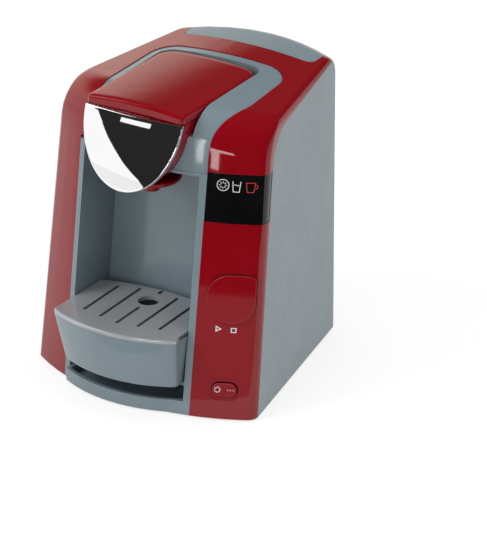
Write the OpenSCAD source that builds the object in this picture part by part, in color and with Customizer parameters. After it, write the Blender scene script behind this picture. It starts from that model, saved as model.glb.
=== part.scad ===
// Toy coffee maker: a capsule machine with a lidded brewing head, drip tray and start button.
// X runs to the user's right, Y to the back and Z up. All sizes are in millimetres.

/* [Body] */
// Width of the body across its front corners
body_w = 219; // [211:1:231]
// Distance of the front bow's middle to the right of the body's middle
bow_shift = 9.5; // [6.5:0.5:12.5]
// Depth of the body from the middle of the front to the middle of the back
body_d = 222; // [213:1:238]
// Height of the top along the middle line, above the bottom edge
body_h = 251; // [245:1:262]
// Radius of the bowed front, seen from above
bow_r = 200; // [180:1:260]
// Angle by which the front leans back
lean_deg = 8.1; // [6:0.1:10]
// Angle by which the right side draws in towards the back
taper_deg = 10.8; // [8:0.1:12]
// Angle by which the left side draws in towards the back
left_taper_deg = 13.5; // [11:0.1:15]
// Radius of the upright front corners
corner_r = 9; // [6:0.5:12]
// Radius of the upright back corners
back_corner_r = 8; // [6:0.5:12]
// Radius of the bowed back, seen from above
back_bow_r = 210; // [190:5:400]
// Radius of the shoulder between front and top
shoulder_r = 28; // [20:1:34]
// Radius of the edge between side and top
edge_r = 6; // [5:0.5:8]
// Radius of the edge between back and top
back_edge_r = 16; // [10:1:20]
// Fall of the crowned top from the middle line to the full half width
crown = 11.5; // [6:0.5:16]
// Thickness of the grey shell
wall = 2.5; // [2:0.1:3]
// Thickness of the red covers and panels
panel_t = 3; // [2.5:0.1:3.5]

/* [Seams] */
// Where the grey side begins behind the front, at the bottom edge
side_start = 33; // [31:0.5:40]
// Angle by which that front seam leans back
side_lean_deg = 9; // [8:0.1:10]
// Distance of the side seam under the top, 100 mm behind the front
side_seam_drop = 17; // [15:0.5:23]
// Rise angle of that seam towards the back
side_seam_deg = 5; // [3:0.1:6]
// Radius where the front seam bends into the top seam
side_seam_r = 34; // [20:1:40]
// Distance between the top and the seam under the top cover's front
cover_seam_drop = 47; // [43:1:55]

/* [Front] */
// Width of the control panel, from the side to its inner edge
control_w = 50.2; // [46:0.2:54]
// Width of the left panel, from the side to its inner edge
left_w = 43.1; // [39:0.1:47]
// Width of the grey jambs beside the cup space
jamb_w = 5.8; // [4:0.2:8]
// Height of the display window
display_h = 41; // [34:1:49]
// Depth that the display window lies under the panel face
display_sink = 0.4; // [0.2:0.1:0.8]

/* [Cup space] */
// Depth of the cup space behind the front at the bottom edge
cup_d = 66; // [60:1:72]
// Distance between the top and the ceiling of the cup space
cup_top_drop = 52; // [49:1:61]
// Height of the lip of the foot in front
foot_h = 11; // [8:0.5:14]
// Thickness of the floor of the foot
foot_floor = 3; // [2:0.5:4]
// Distance that the lip of the foot reaches in front of the body
foot_reach = 6; // [2:0.5:10]
// Thickness of the lip of the foot
foot_lip = 3.5; // [2.5:0.5:5]

/* [Drip tray] */
// Distance that the tray's top reaches over the jamb on each side, in front
tray_overhang = 1.45; // [0.5:0.05:2.5]
// Gap beside the tray at its bottom
tray_side_gap = 3.55; // [2:0.05:6]
// Height of the bottom of the tray above the bottom edge
tray_z = 24; // [20:1:28]
// Height of the tray without its grate
tray_h = 43.5; // [38:0.5:48]
// Distance that the tray's front corners reach in front of the body
tray_corner_reach = 6.6; // [4:0.2:10]
// Distance that the middle of the tray's front bulges past its corners
tray_bulge = 14.5; // [10:0.5:18]
// Distance that the tray's front draws back towards its bottom
tray_rake = 9; // [5:0.5:12]
// Thickness of the tray walls
tray_wall = 2.2; // [1.8:0.1:3]
// Thickness of the grate
grate_t = 3.4; // [2.6:0.1:4.5]
// Width of the slots in the grate
slot_w = 3; // [2:0.1:4]
// Distance between the slots
slot_pitch = 18; // [16:0.5:20]
// Radius of the round hole in the grate
grate_hole_r = 8.8; // [7:0.1:10]

/* [Brewing head] */
// Distance of the brewing head left of the middle line
head_x = 13; // [10:0.5:16]
// Half width of the round-bottomed head
head_half_w = 46; // [42:0.5:47]
// Depth of the head's rounded front, along its slope
head_drop = 63.5; // [58:0.5:66]
// Distance of the top of the shield under the top of the body
head_top_drop = 8.4; // [7:0.2:13]
// Distance of the top of the shield behind the front
head_front_y = 29; // [26:0.5:32]
// Angle by which the shield's bottom comes forward
shield_deg = 18; // [14:0.5:22]
// Thickness of the shield at its rim
shield_t = 2.2; // [1.6:0.1:3]
// Radius of the shield's domed face
shield_dome_r = 330; // [250:10:600]
// Depth of the seat for the drink capsule
pod_depth = 9; // [6:0.5:12]
// Radius of the seat for the drink capsule
pod_r = 30.5; // [29:0.5:32]
// Radius of the spout flange
flange_r = 25; // [20:0.5:28]
// Radius of the spout
spout_r = 7.2; // [5:0.2:9]
// Length of the spout under its flange
spout_l = 11; // [8:0.5:14]
// Radius of the hole through the spout
spout_bore_r = 2.5; // [2:0.1:3.5]

/* [Lid] */
// Length of the lid from its lip to its back
lid_l = 117; // [112:1:120]
// Height of the lid's edge
lid_t = 6.6; // [5:0.2:8]
// Distance that the lid's lip stands in front of the shield's top
lid_lip = 1.6; // [0.5:0.1:3]
// Height of the lid's crown over its edge
lid_crown = 2.6; // [1.5:0.1:4]
// Thickness of the lid's skin
lid_skin = 2.2; // [1.8:0.1:2.8]
// Radius of the lid's back corners
lid_corner_r = 15; // [10:1:20]
// Gap round the lid in the surround
lid_gap = 1.6; // [1.2:0.1:2.4]
// Gap behind the lid, where its back swings down
lid_back_gap = 3; // [2.8:0.1:3.4]
// Angle by which the lid's top falls towards the back
lid_fall_deg = 1.2; // [0.8:0.1:1.4]
// Radius of the hinge pin
pin_r = 1.2; // [1:0.05:1.3]

/* [Controls] */
// Distance of the start button and the rocker from the side
control_inset = 24; // [23:0.5:26]
// Height of the middle of the start button
button_z = 101; // [95:1:108]
// Radius of the start button
button_r = 20.2; // [17:0.2:21]
// Radius of the one pointed corner of the start button
button_tip_r = 4; // [2:0.5:8]
// Travel of the start button
button_travel = 2.5; // [1.5:0.1:3.5]
// Height of the middle of the power rocker
rocker_z = 25; // [20:1:32]
// Length of the power rocker
rocker_l = 21; // [18:0.5:23]
// Height of the oval rocker
rocker_h = 12; // [10:0.5:13]
// Radius of the rocker's pivots
rocker_pin_r = 1.3; // [1:0.1:1.6]

/* [Water tank] */
// How much less than the right half of the body the tank lid's half width is
tank_lid_inset = 38; // [37:1:46]
// Depth of the tank lid from its front edge to the back
tank_lid_d = 41; // [37:1:45]
// Distance of the tank's middle left of the bow's middle
tank_x = 3; // [1:0.5:5]
// Distance of the lower back edge of the tank lid under the top
tank_lid_drop = 21; // [19:1:25]
// Depth of the tank from front to back
tank_d = 19; // [15:0.5:19]
// Height of the tank
tank_h = 116; // [94:1:144]
// Thickness of the tank walls
tank_wall = 1.8; // [1.4:0.1:2.4]

/* [Base] */
// Height of the rubber feet under the bottom edge
foot_gap = 1.5; // [1:0.1:2.5]
// Radius of the rubber feet
pad_r = 6.5; // [5:0.5:8]
// Thickness of the base plate
base_t = 2.5; // [2:0.1:3.5]
// Radius of a battery cell
cell_r = 7.1; // [7:0.1:7.3]
// Length of a battery cell
cell_l = 50.4; // [49:0.1:51]
// Radius of the speaker
speaker_r = 18; // [14:0.5:20]

/* [Clearances] */
// Gap between a moving piece and its neighbour
gap = 0.4; // [0.3:0.05:0.6]
// Gap of a pin in its bore, on the radius
pin_gap = 0.06; // [0.03:0.01:0.1]
// Gap between fitted shells
seat = 0.3; // [0.2:0.05:0.4]

/* [Hidden] */

half_w = body_w / 2 - bow_shift;
left_half_w = body_w / 2 + bow_shift;
lean = tan(lean_deg);
side_seam_z = body_h - side_seam_drop;
cover_seam_z = body_h - cover_seam_drop;
control_x = half_w - control_w;
left_x = left_half_w - left_w;
display_z = cover_seam_z - display_h;
cup_top = body_h - cup_top_drop;
head_top_z = body_h - head_top_drop;
control_mid_x = half_w - control_inset;
tank_lid_half_w = half_w - tank_lid_inset;
tank_lid_y = body_d - tank_lid_d;
tank_lid_z = body_h - tank_lid_drop;
tank_top = tank_lid_z + 4;
tank_z = tank_top - tank_h;
function bow_y(x) = bow_r - sqrt(bow_r * bow_r - x * x);
corner_y = bow_y(half_w);
inner_z = -8;
far = 400;
eps = 0.02;
arc_n = 32;
mid_n = 48;

// Each side seen from above: its distance from the bow's middle, and its taper. The left is mirrored.
right_side = [half_w, taper_deg];
left_side = [left_half_w, left_taper_deg];
function side_n(s) = [cos(s[1]), sin(s[1])];
function side_m(s) = [-sin(s[1]), cos(s[1])];
function side_k(s) = side_n(s) * [s[0], corner_y];

// Points of one outline of the body at height z, inset by i all round and by f, s and b
// at the front, the sides and the back. It starts at the middle of the front.
front_n = 8;
fillet_n = 4;
back_n = 4;
function on_circle(c, r, a) = c + r * [cos(a), sin(a)];
function mix(a, b, t) = a + (b - a) * t;
function fillet_centre(c, ra, r, k, way, n, m) =
    let(q = n * (k - r) - c, h = q * m)
    n * (k - r) + m * (-h + way * sqrt(h * h - q * q + (ra - r) * (ra - r)));
function half_outline(z, i, f, s, b, side) =
    let(fc = [0, lean * z + bow_r], fr = bow_r - i - f, k = side_k(side) - i - s,
        n = side_n(side), m = side_m(side),
        r1 = max(corner_r - i, 1), r2 = max(back_corner_r - i, 1),
        bc = [0, body_d - back_bow_r], br = back_bow_r - i - b,
        c1 = fillet_centre(fc, fr, r1, k, -1, n, m), c2 = fillet_centre(bc, br, r2, k, 1, n, m),
        a1 = atan2(c1.y - fc.y, c1.x), a2 = atan2(c2.y - bc.y, c2.x))
    [for (j = [0 : front_n]) on_circle(fc, fr, mix(-90, a1, j / front_n)),
     for (j = [1 : fillet_n]) on_circle(c1, r1, mix(a1, side[1], j / fillet_n)),
     for (j = [0 : back_n]) on_circle(c2, r2, mix(side[1], a2, j / back_n)),
     for (j = [1 : back_n]) on_circle(bc, br, mix(a2, 90, j / back_n))];
function outline(z, i = 0, f = 0, s = 0, b = 0) =
    let(h = half_outline(z, i, f, s, b, right_side), l = half_outline(z, i, f, s, b, left_side))
    [each h, for (j = [len(l) - 2 : -1 : 1]) [-l[j].x, l[j].y]];

// Inset of a rounded edge of radius r at height l, where it ends at height h.
function edge_inset(l, h, r) = l <= h - r ? 0 : r - sqrt(max(r * r - pow(l - h + r, 2), 0));
function crown_at(x) = crown * pow(x / half_w, 2);
function ring(l, h, i) =
    let(w = min(max(l, 0) / (h - shoulder_r + i), 1))
    [for (p = outline(l, i, edge_inset(l, h, shoulder_r - i), edge_inset(l, h, max(edge_r - i, 1)),
        edge_inset(l, h, back_edge_r - i))) [p.x, p.y, l - w * crown_at(p.x)]];

// A closed solid through rings of equal length, from the lowest ring to the highest.
module loft(rings, cap_steps) {
    n = len(rings[0]);
    k = len(rings);
    last = rings[k - 1];
    top = [for (s = cap_steps) [for (p = last) [p.x * s, mix(body_d / 2, p.y, s), 0]]];
    lift = last[0].z + crown_at(last[0].x);
    caps = [for (t = top) [for (p = t) [p.x, p.y, lift - crown_at(p.x)]]];
    all_rings = [each rings, each caps];
    m = len(all_rings);
    points = [for (r = all_rings) each r, [0, body_d / 2, lift]];
    sides = [for (a = [0 : m - 2], j = [0 : n - 1]) each [
        [a * n + j, (a + 1) * n + j, (a + 1) * n + (j + 1) % n],
        [a * n + j, (a + 1) * n + (j + 1) % n, a * n + (j + 1) % n]]];
    roof = [for (j = [0 : n - 1]) [m * n, (m - 1) * n + (j + 1) % n, (m - 1) * n + j]];
    polyhedron(points = points, faces = [[for (j = [0 : n - 1]) j], each sides, each roof], convexity = 6);
}

// The outer form of the whole body, inset by i. Its lower part alone has straight sides.
rise_steps = [0, 15, 30, 42, 52, 60, 68, 76, 83, 90];
inner_steps = [0, 30, 60, 75, 90];
module form(i = 0, low = 0) {
    h = body_h - i;
    r = shoulder_r - i;
    loft([ring(low, h, i), for (a = i > 1 ? inner_steps : rise_steps) ring(h - r + r * sin(a), h, i)],
        i > 1 ? [0.5] : [0.75, 0.45]);
}
module lower_form(i = 0, low = 0) {
    h = body_h - i;
    loft([ring(low, h, i), ring(h - shoulder_r + i, h, i)], []);
}

// A polygon with rounded corners: each corner is [x, y, radius].
function unit(v) = v / norm(v);
function corner_arc(a, p, b, r, n) =
    let(u = unit(a - p), v = unit(b - p), h = acos(u * v) / 2, c = p + unit(u + v) * r / sin(h),
        s = p + u * r / tan(h) - c, e = p + v * r / tan(h) - c, a0 = atan2(s.y, s.x),
        d = atan2(e.y, e.x) - a0, turn = d > 180 ? d - 360 : d < -180 ? d + 360 : d)
    [for (j = [0 : n]) on_circle(c, r, a0 + turn * j / n)];
function rounded(pts, n = 8) =
    let(m = len(pts), xy = [for (p = pts) [p.x, p.y]])
    [for (j = [0 : m - 1]) each pts[j][2] > 0
        ? corner_arc(xy[(j + m - 1) % m], xy[j], xy[(j + 1) % m], pts[j][2], n) : [xy[j]]];

// A prism along X from a polygon in Y and Z.
module along_x(pts, x0 = -far, x1 = far)
    translate([x0, 0, 0])
        rotate([90, 0, 90])
            linear_extrude(x1 - x0) polygon(pts);
module box(lo, hi)
    translate(lo) cube(hi - lo);

// The zone of the grey shell: behind the front seam, which starts at y0, and under the top seam.
seam_ref_y = 100;
function seam_z(y) = side_seam_z + (y - seam_ref_y) * tan(side_seam_deg);
function seam_corner_y(y0) = (y0 + tan(side_lean_deg) * (side_seam_z - seam_ref_y * tan(side_seam_deg)))
    / (1 - tan(side_lean_deg) * tan(side_seam_deg));
function zone_plan(y0) =
    let(c = seam_corner_y(y0))
    rounded([[far, inner_z, 0], [far, seam_z(far), 0], [c, seam_z(c), side_seam_r],
        [y0 + inner_z * tan(side_lean_deg), inner_z, 0]], 10);
module side_zone() {
    along_x(zone_plan(side_start), 0, far);
    along_x(zone_plan(side_start + bow_y(left_half_w) - corner_y), -far, 0);
}

// Height of the front face and its frame: Z points out of the face at the given place.
function face_y(x, z) = lean * z + bow_r - sqrt(bow_r * bow_r - x * x);
function face_turn(x) = asin(x / bow_r);
module on_face(x, z)
    translate([x, face_y(x, z), z])
        rotate([90 - lean_deg, 0, face_turn(x)])
            children();

cup_mid = (control_x - left_x) / 2;
cup_left = -left_x + jamb_w;
cup_right = control_x - jamb_w;
tray_w = cup_right - cup_left + 2 * tray_overhang;
tray_bottom_w = cup_right - cup_left - 2 * tray_side_gap;
function cup_back(z) = cup_d + lean * z;

// The brewing head's outline in its own sloping plane: the origin is at the top middle.
function bowl(a, b) = [for (t = [180 : 180 / arc_n : 360]) [a * cos(t), b * sin(t)]];
module head_plane()
    translate([-head_x, head_front_y, head_top_z])
        rotate([90 - shield_deg, 0, 0])
            children();
head_low_z = head_top_z - head_drop * cos(shield_deg);
barrel_half_w = head_half_w - 1;
barrel_drop = head_top_z - head_low_z - 1;
deck_z = head_top_z - 1;
lid_front = head_front_y - lid_lip;
lid_back = lid_front + lid_l;
lid_z = head_top_z + 0.3;
pin_y = lid_back - 5.5;
pin_z = lid_z + 0.9;
knuckle_r = 2.6;
knuckle_half = 18;
cheek_w = 7;
cheek_mid = knuckle_half + gap + cheek_w / 2;
pocket_drop = 7;
pod_y = 84;
spout_y = 51;

// A lid-shaped outline seen from above, grown by g, with the front and the back moved out too.
function lid_plan(g, front = 0, back = 0, r = lid_corner_r) = rounded([
    [-head_x - head_half_w - g, lid_front - g - front, front > 0 ? 0 : 4],
    [-head_x + head_half_w + g, lid_front - g - front, front > 0 ? 0 : 4],
    [-head_x + head_half_w + g, lid_back + g + back, r + g],
    [-head_x - head_half_w - g, lid_back + g + back, r + g]]);
// The recess round the lid has tighter corners, where the lid's back swings down.
recess_corner_r = lid_corner_r - 4.6;
function recess_plan(g) = lid_plan(g, 2 * head_front_y, lid_back_gap - lid_gap, recess_corner_r);

// The barrel: a round-bottomed prism along Y, grown by g.
module barrel_prism(g, front, l, top)
    translate([-head_x, front, deck_z])
        rotate([-90, 0, 0])
            linear_extrude(l)
                mirror([0, 1])
                    polygon([each bowl(barrel_half_w + g, barrel_drop + g), [barrel_half_w + g, top],
                        [-barrel_half_w - g, top]]);
module barrel(g, front, top) {
    intersection() {
        barrel_prism(g, front, far, top);
        translate([0, 0, inner_z])
            linear_extrude(far) polygon(lid_plan(g - 0.6, 2 * head_front_y));
    }
}

// The surround's outer outline, seen from above.
surround_rim = 8;
surround_side = 6.3;
surround_back = lid_back + lid_back_gap + surround_rim;
surround_left = -head_x - head_half_w - lid_gap - surround_side;
function surround_plan(g) = rounded([
    [-left_x - g, -far / 4, 0], [control_x + g, -far / 4, 0], [control_x + g, 41, 26],
    [control_x + g + 12.5, 74, 60], [control_x + g + 7, surround_back + g, 26],
    [surround_left - g, surround_back + g, 20], [surround_left - g, 62, 30], [-left_x - g, 38, 30]], 10);

module main_shell() {
    color("lightslategray")
        difference() {
            intersection() {
                form();
                side_zone();
                union() {
                    difference() {
                        box([-far, 0, 0], [far, far, far]);
                        form(wall, inner_z);
                    }
                    tank_shelf();
                    for (p = boss_places)
                        boss(p);
                }
            }
            tank_lid_zone(seat);
            for (p = boss_places)
                translate([p.x, p.y, inner_z]) cylinder(r = screw_r, h = boss_h - inner_z - 4, $fn = arc_n);
        }
}

// Screw bosses against the side walls, mirrored left and right.
screw_r = 1.5;
screw_head_r = 3;
boss_r = 4.2;
boss_h = 34;
function inside_x(y, i, s) = (side_k(s) - i - side_n(s).y * y) / side_n(s).x;
function by_sides(ys, i) =
    [for (y = ys) each [[-inside_x(y, i, left_side), y], [inside_x(y, i, right_side), y]]];
front_boss_y = 78;
back_boss_inset = 34;
boss_ys = [front_boss_y, body_d - back_boss_inset];
boss_places = by_sides(boss_ys, wall + boss_r - 0.8);
module boss(p)
    translate([p.x, p.y, base_t]) cylinder(r = boss_r, h = boss_h - base_t, $fn = arc_n);

tank_half_w = tank_lid_half_w - 6;
tank_y0 = tank_lid_y + 4;
shelf_t = 2.5;
module tank_shelf()
    box([-far, tank_y0 - 6, tank_z - shelf_t], [far, far, tank_z]);

// The space that the tank lid fills, grown by g.
module tank_lid_zone(g, low = tank_lid_z)
    translate([0, 0, low - max(g, 0)])
        linear_extrude(far)
            translate([-tank_x, 0])
                polygon(rounded([[-tank_lid_half_w - g, tank_lid_y - g, tank_lid_r + g],
                    [tank_lid_half_w + g, tank_lid_y - g, tank_lid_r + g],
                    [tank_lid_half_w + g, far, 0], [-tank_lid_half_w - g, far, 0]]));
tank_lid_r = 7;

module front_frame() {
    color("lightslategray")
        difference() {
            union() {
                intersection() {
                    lower_form();
                    box([-left_x, -far, 0], [control_x, far, cup_top + wall]);
                    along_x([[-far, 0], [cup_back(0) + wall, 0], [cup_back(cup_top + wall) + wall,
                        cup_top + wall], [-far, cup_top + wall]]);
                }
                foot_block();
            }
            difference() {
                along_x([[-far, foot_h], [cup_back(foot_h), foot_h], [cup_back(cup_top), cup_top],
                    [-far, cup_top]], cup_left, cup_right);
                tray_rails();
            }
            foot_basin();
            barrel(seat, -far / 4, 20);
        }
}

// Rails at both sides that the tray slides on.
rail_y = 16;
rail_w = 9;
rail_t = 4;
module tray_rails()
    difference() {
        box([cup_left - 1, rail_y, tray_z - seat - rail_t], [cup_right + 1, far, tray_z - seat]);
        box([cup_left + rail_w, -far, 0], [cup_right - rail_w, far, far]);
    }

// The foot that reaches in front of the cup space, with a shallow basin in it.
foot_half = (cup_right - cup_left) / 2;
foot_end_y = 9;
function arc_r(half, sag) = (half * half + sag * sag) / (2 * sag);
module foot_plan(inset) {
    r = arc_r(foot_half, foot_reach + foot_end_y);
    intersection() {
        translate([cup_mid, r - foot_reach]) circle(r = r - inset, $fn = 96);
        translate([cup_left + inset, -far / 2]) square([2 * foot_half - 2 * inset, far]);
        translate([cup_left, -far / 2]) square([2 * foot_half, far / 2 + cup_d - inset]);
    }
}
module foot_block()
    linear_extrude(foot_h) foot_plan(0);
module foot_basin()
    translate([0, 0, foot_floor])
        linear_extrude(foot_h) foot_plan(foot_lip);

module left_panel() {
    color("firebrick")
        difference() {
            intersection() {
                lower_form();
                box([-far, -far, 0], [-left_x, far, cover_seam_z]);
                difference() {
                    box([-far, -far, 0], [far, far, far]);
                    lower_form(panel_t, inner_z);
                }
            }
            side_zone();
        }
}

module control_panel() {
    color("firebrick")
        difference() {
            intersection() {
                lower_form();
                union() {
                    difference() {
                        box([control_x, -far, 0], [far, far, display_z]);
                        lower_form(panel_t, inner_z);
                    }
                    panel_posts();
                    rocker_lugs();
                }
            }
            side_zone();
            on_face(control_mid_x, button_z)
                translate([0, 0, -button_back - button_travel])
                    linear_extrude(far / 4) button_plan(gap);
            on_face(control_mid_x, button_z)
                translate([0, 0, -button_sink])
                    linear_extrude(far / 4) button_plan(button_rim);
            on_face(control_mid_x, rocker_z)
                translate([0, 0, -panel_t - 2])
                    linear_extrude(far / 4) rocker_plan(gap);
            on_face(control_mid_x, rocker_z)
                translate([0, 0, -button_sink])
                    linear_extrude(far / 4) rocker_plan(rocker_rim);
            on_face(control_mid_x, rocker_z)
                translate([0, 0, rocker_axis])
                    rotate([90, 0, 0])
                        cylinder(r = rocker_pin_r + pin_gap, h = rocker_span + 2 * gap, center = true,
                            $fn = arc_n);
            on_face(control_mid_x, button_z)
                for (p = post_places)
                    translate([p.x, p.y, -board_depth - eps])
                        cylinder(r = post_screw_r + pin_gap, h = post_bore_l, $fn = arc_n);
        }
}
button_sink = 0.9;
button_rim = 2.2;
rocker_rim = 3.4;
rocker_axis = -6;
rocker_span = rocker_h + 9;
lug_t = 2.4;
lug_half_w = 3.5;
lug_l = 10;
module button_plan(g) {
    r = button_r + g;
    full = r - eps;
    polygon(rounded([[-r, -r, full], [r, -r, full], [r, r, button_tip_r + g], [-r, r, full]], 14));
}
module rocker_plan(g) {
    r = rocker_h / 2 + g;
    x = rocker_l / 2 - rocker_h / 2;
    translate([-x, 0]) circle(r = r, $fn = mid_n);
    translate([x, 0]) circle(r = r, $fn = mid_n);
    square([2 * x, 2 * r], center = true);
}

// Posts behind the panel that carry the circuit board, and the lugs that carry the rocker.
board_depth = 17;
board_half_w = 15;
board_low = -34;
board_high = cover_seam_z - button_z - 15;
board_t = 1.6;
post_r = 2.6;
post_bore_l = 8;
post_screw_r = 1.25;
post_places = [for (x = [-11.5, 11.5], y = [board_low + 4, board_high - 36]) [x, y]];
module panel_posts()
    on_face(control_mid_x, button_z)
        for (p = post_places)
            translate([p.x, p.y, -board_depth]) cylinder(r = post_r, h = board_depth, $fn = arc_n);
module rocker_lugs()
    on_face(control_mid_x, rocker_z)
        for (s = [-1, 1])
            translate([-lug_half_w, s * (rocker_h / 2 + gap + lug_t / 2) - lug_t / 2, rocker_axis - lug_l])
                cube([2 * lug_half_w, lug_t, -rocker_axis + lug_l]);

module display_window() {
    color("black")
        difference() {
            intersection() {
                lower_form(display_sink);
                difference() {
                    box([control_x, -far, display_z], [far, far, cover_seam_z]);
                    lower_form(panel_t, inner_z);
                }
            }
            side_zone();
        }
}

module top_cover() {
    color("firebrick")
        difference() {
            intersection() {
                form();
                difference() {
                    box([-far, -far, cover_seam_z], [far, far, far]);
                    form(panel_t, inner_z);
                }
            }
            side_zone();
            translate([0, 0, inner_z])
                linear_extrude(far) polygon(surround_plan(0));
            tank_lid_zone(gap);
        }
}

surround_sink = 0.8;
surround_t = 2.6;
surround_low = cup_top + wall;
module head_surround() {
    color("slategray")
        difference() {
            intersection() {
                form(surround_sink);
                translate([0, 0, surround_low])
                    linear_extrude(far) polygon(surround_plan(-seat));
                union() {
                    difference() {
                        box([-far, -far, surround_low], [far, far, far]);
                        form(surround_sink + surround_t, inner_z);
                    }
                    translate([0, 0, surround_low])
                        linear_extrude(far)
                            polygon(recess_plan(lid_gap + surround_t));
                }
            }
            recess();
        }
}
// The space in the surround for the barrel and the lid.
module recess() {
    barrel(seat, -far / 4, 0);
    translate([0, 0, deck_z - 12])
        linear_extrude(far) polygon(recess_plan(lid_gap));
}

module brew_head() {
    color("firebrick") {
        difference() {
            intersection() {
                barrel(0, 0, 0);
                barrel_walls();
            }
            // Sloping front, flat behind the shield.
            head_plane()
                translate([-far / 2, -far / 2, -seat]) cube(far);
            translate([-head_x, pod_y, deck_z - pod_depth])
                cylinder(r = pod_r, h = far, $fn = 64);
            translate([-head_x, pod_y, deck_z - 2 * pod_depth])
                cylinder(r = pod_r - 8, h = far, $fn = 64);
            hinge_pocket();
        }
        hinge_cheeks();
    }
}
// The barrel is hollow behind the shield, with a deck, a well for the capsule and a tube to the spout.
hollow_t = 3;
hollow_back = pin_y - 12;
module barrel_walls() {
    difference() {
        box([-far / 2, -far / 4, 0], [far / 2, far / 2, far]);
        barrel_prism(-hollow_t, -far / 2, far / 2 + hollow_back, hollow_t);
    }
    box([-far / 2, -far / 4, deck_z - hollow_t], [far / 2, far / 2, far]);
    translate([-head_x, pod_y, deck_z - 2 * pod_depth - hollow_t])
        cylinder(r = pod_r + hollow_t, h = 2 * pod_depth, $fn = 64);
    translate([-head_x, spout_y + 3, head_low_z - 5])
        cylinder(r = spout_r, h = deck_z - head_low_z, $fn = arc_n);
}
// Room for the lid's back to swing down, and the two cheeks that carry the hinge pin there.
module hinge_pocket()
    box([-far, pin_y - knuckle_r - 2, pin_z - pocket_drop], [far, far, far]);
module hinge_cheeks()
    difference() {
        for (s = [-1, 1])
            translate([-head_x + s * cheek_mid - cheek_w / 2, pin_y, pin_z]) {
                rotate([0, 90, 0]) cylinder(r = knuckle_r, h = cheek_w, $fn = mid_n);
                translate([0, -knuckle_r, -pocket_drop - 1])
                    cube([cheek_w, 2 * knuckle_r, pocket_drop + 1]);
            }
        translate([-head_x, pin_y, pin_z])
            rotate([0, 90, 0]) cylinder(r = pin_r, h = pin_l, center = true, $fn = arc_n);
    }
pin_l = 2 * (knuckle_half + gap + cheek_w) - 1;

module chrome_shield() {
    color("silver")
        intersection() {
            head_plane()
                linear_extrude(far / 8) polygon([each bowl(head_half_w, head_drop)]);
            head_plane()
                translate([0, -head_drop / 2.4, dome_top - shield_dome_r])
                    sphere(r = shield_dome_r, $fn = 200);
            box([-far, -far, 0], [far, far, head_top_z]);
        }
}
dome_reach = norm([head_half_w, head_drop / 2.4]);
dome_top = shield_t + shield_dome_r - sqrt(pow(shield_dome_r, 2) - pow(dome_reach, 2));

module spout() {
    flange_z = head_low_z - flange_drop;
    color("firebrick")
        difference() {
            union() {
                translate([-head_x, spout_y, flange_z]) cylinder(r = flange_r, h = flange_t, $fn = 64);
                translate([-head_x, spout_y, flange_z - spout_l])
                    cylinder(r = spout_r, h = spout_l + flange_t, $fn = mid_n);
            }
            translate([-head_x, spout_y, 0]) cylinder(r = spout_bore_r, h = far, $fn = arc_n);
            barrel(0, 0, 0);
        }
}
flange_t = 3.4;
flange_drop = flange_t - 1;

module head_lid() {
    color("firebrick")
        difference() {
            union() {
                difference() {
                    lid_solid(0);
                    intersection() {
                        lid_solid(lid_skin);
                        translate([0, 0, inner_z])
                            linear_extrude(far) polygon(lid_plan(-lid_skin));
                    }
                }
                lid_knuckle();
            }
            translate([-head_x, pin_y, pin_z])
                rotate([0, 90, 0])
                    cylinder(r = pin_r + pin_gap, h = far, center = true, $fn = arc_n);
            lid_notches();
        }
}
// Notches in the lid's back wall, where it swings down round the cheeks.
module lid_notches()
    for (s = [-1, 1])
        box([-head_x + s * cheek_mid - cheek_w / 2 - gap, pin_y - knuckle_r - gap, inner_z],
            [-head_x + s * cheek_mid + cheek_w / 2 + gap, far, pin_z + knuckle_r + gap / 2]);
lid_dome_r = arc_r(head_half_w, lid_crown);
lid_top = lid_z + lid_t + lid_crown - lid_skin / 2 - lid_l * tan(lid_fall_deg);
module lid_solid(skin)
    intersection() {
        translate([0, 0, lid_z - (skin > 0 ? 1 : 0)])
            linear_extrude(far / 10) polygon(lid_plan(0));
        translate([-head_x, lid_front, lid_z + lid_t + lid_crown - lid_dome_r - skin])
            rotate([-90 - lid_fall_deg, 0, 0])
                cylinder(r = lid_dome_r, h = far, center = true, $fn = 400);
    }
module lid_knuckle()
    intersection() {
        translate([-head_x - knuckle_half, 0, 0])
            union() {
                translate([0, pin_y, pin_z])
                    rotate([0, 90, 0]) cylinder(r = knuckle_r, h = 2 * knuckle_half, $fn = mid_n);
                translate([0, pin_y - knuckle_r, pin_z])
                    cube([2 * knuckle_half, 2 * knuckle_r, lid_top - pin_z]);
            }
        translate([0, 0, inner_z])
            linear_extrude(far) polygon(lid_plan(-1));
    }

module lid_hinge_pin() {
    color("gainsboro")
        translate([-head_x, pin_y, pin_z])
            rotate([0, 90, 0]) cylinder(r = pin_r, h = pin_l, center = true, $fn = arc_n);
}

button_proud = 1.2;
button_back = panel_t + 1.4;
button_lip = 1;
button_lip_t = 1.2;
button_lip_end = 12;
stem_r = 3;
switch_h = 4.4;
stem_end = board_depth - switch_h - button_travel - 0.1;
module start_button() {
    color("firebrick")
        on_face(control_mid_x, button_z) {
            difference() {
                translate([0, 0, -button_back])
                    linear_extrude(button_back + button_proud) button_plan(0);
                translate([0, 0, -button_back - eps])
                    linear_extrude(button_back - 1.2) button_plan(-2);
            }
            translate([0, 0, -stem_end]) cylinder(r = stem_r, h = stem_end - 1, $fn = arc_n);
            translate([0, 0, -button_back - button_lip_t]) linear_extrude(button_lip_t) button_lip_plan();
        }
}

// The lip behind the panel that holds the button in. It ends short of the panel's corner.
module button_lip_plan()
    difference() {
        intersection() {
            button_plan(button_lip);
            translate([-far, -far / 2]) square([far + button_lip_end, far]);
        }
        button_plan(-2);
    }

spring_r = 5.4;
spring_wire = 0.5;
module button_spring() {
    color("gainsboro")
        on_face(control_mid_x, button_z)
            translate([0, 0, -board_depth + spring_wire + 0.1])
                coil(spring_r, spring_r, spring_wire, board_depth - 1.4 - 2 * spring_wire, 6, 16);
}

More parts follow.
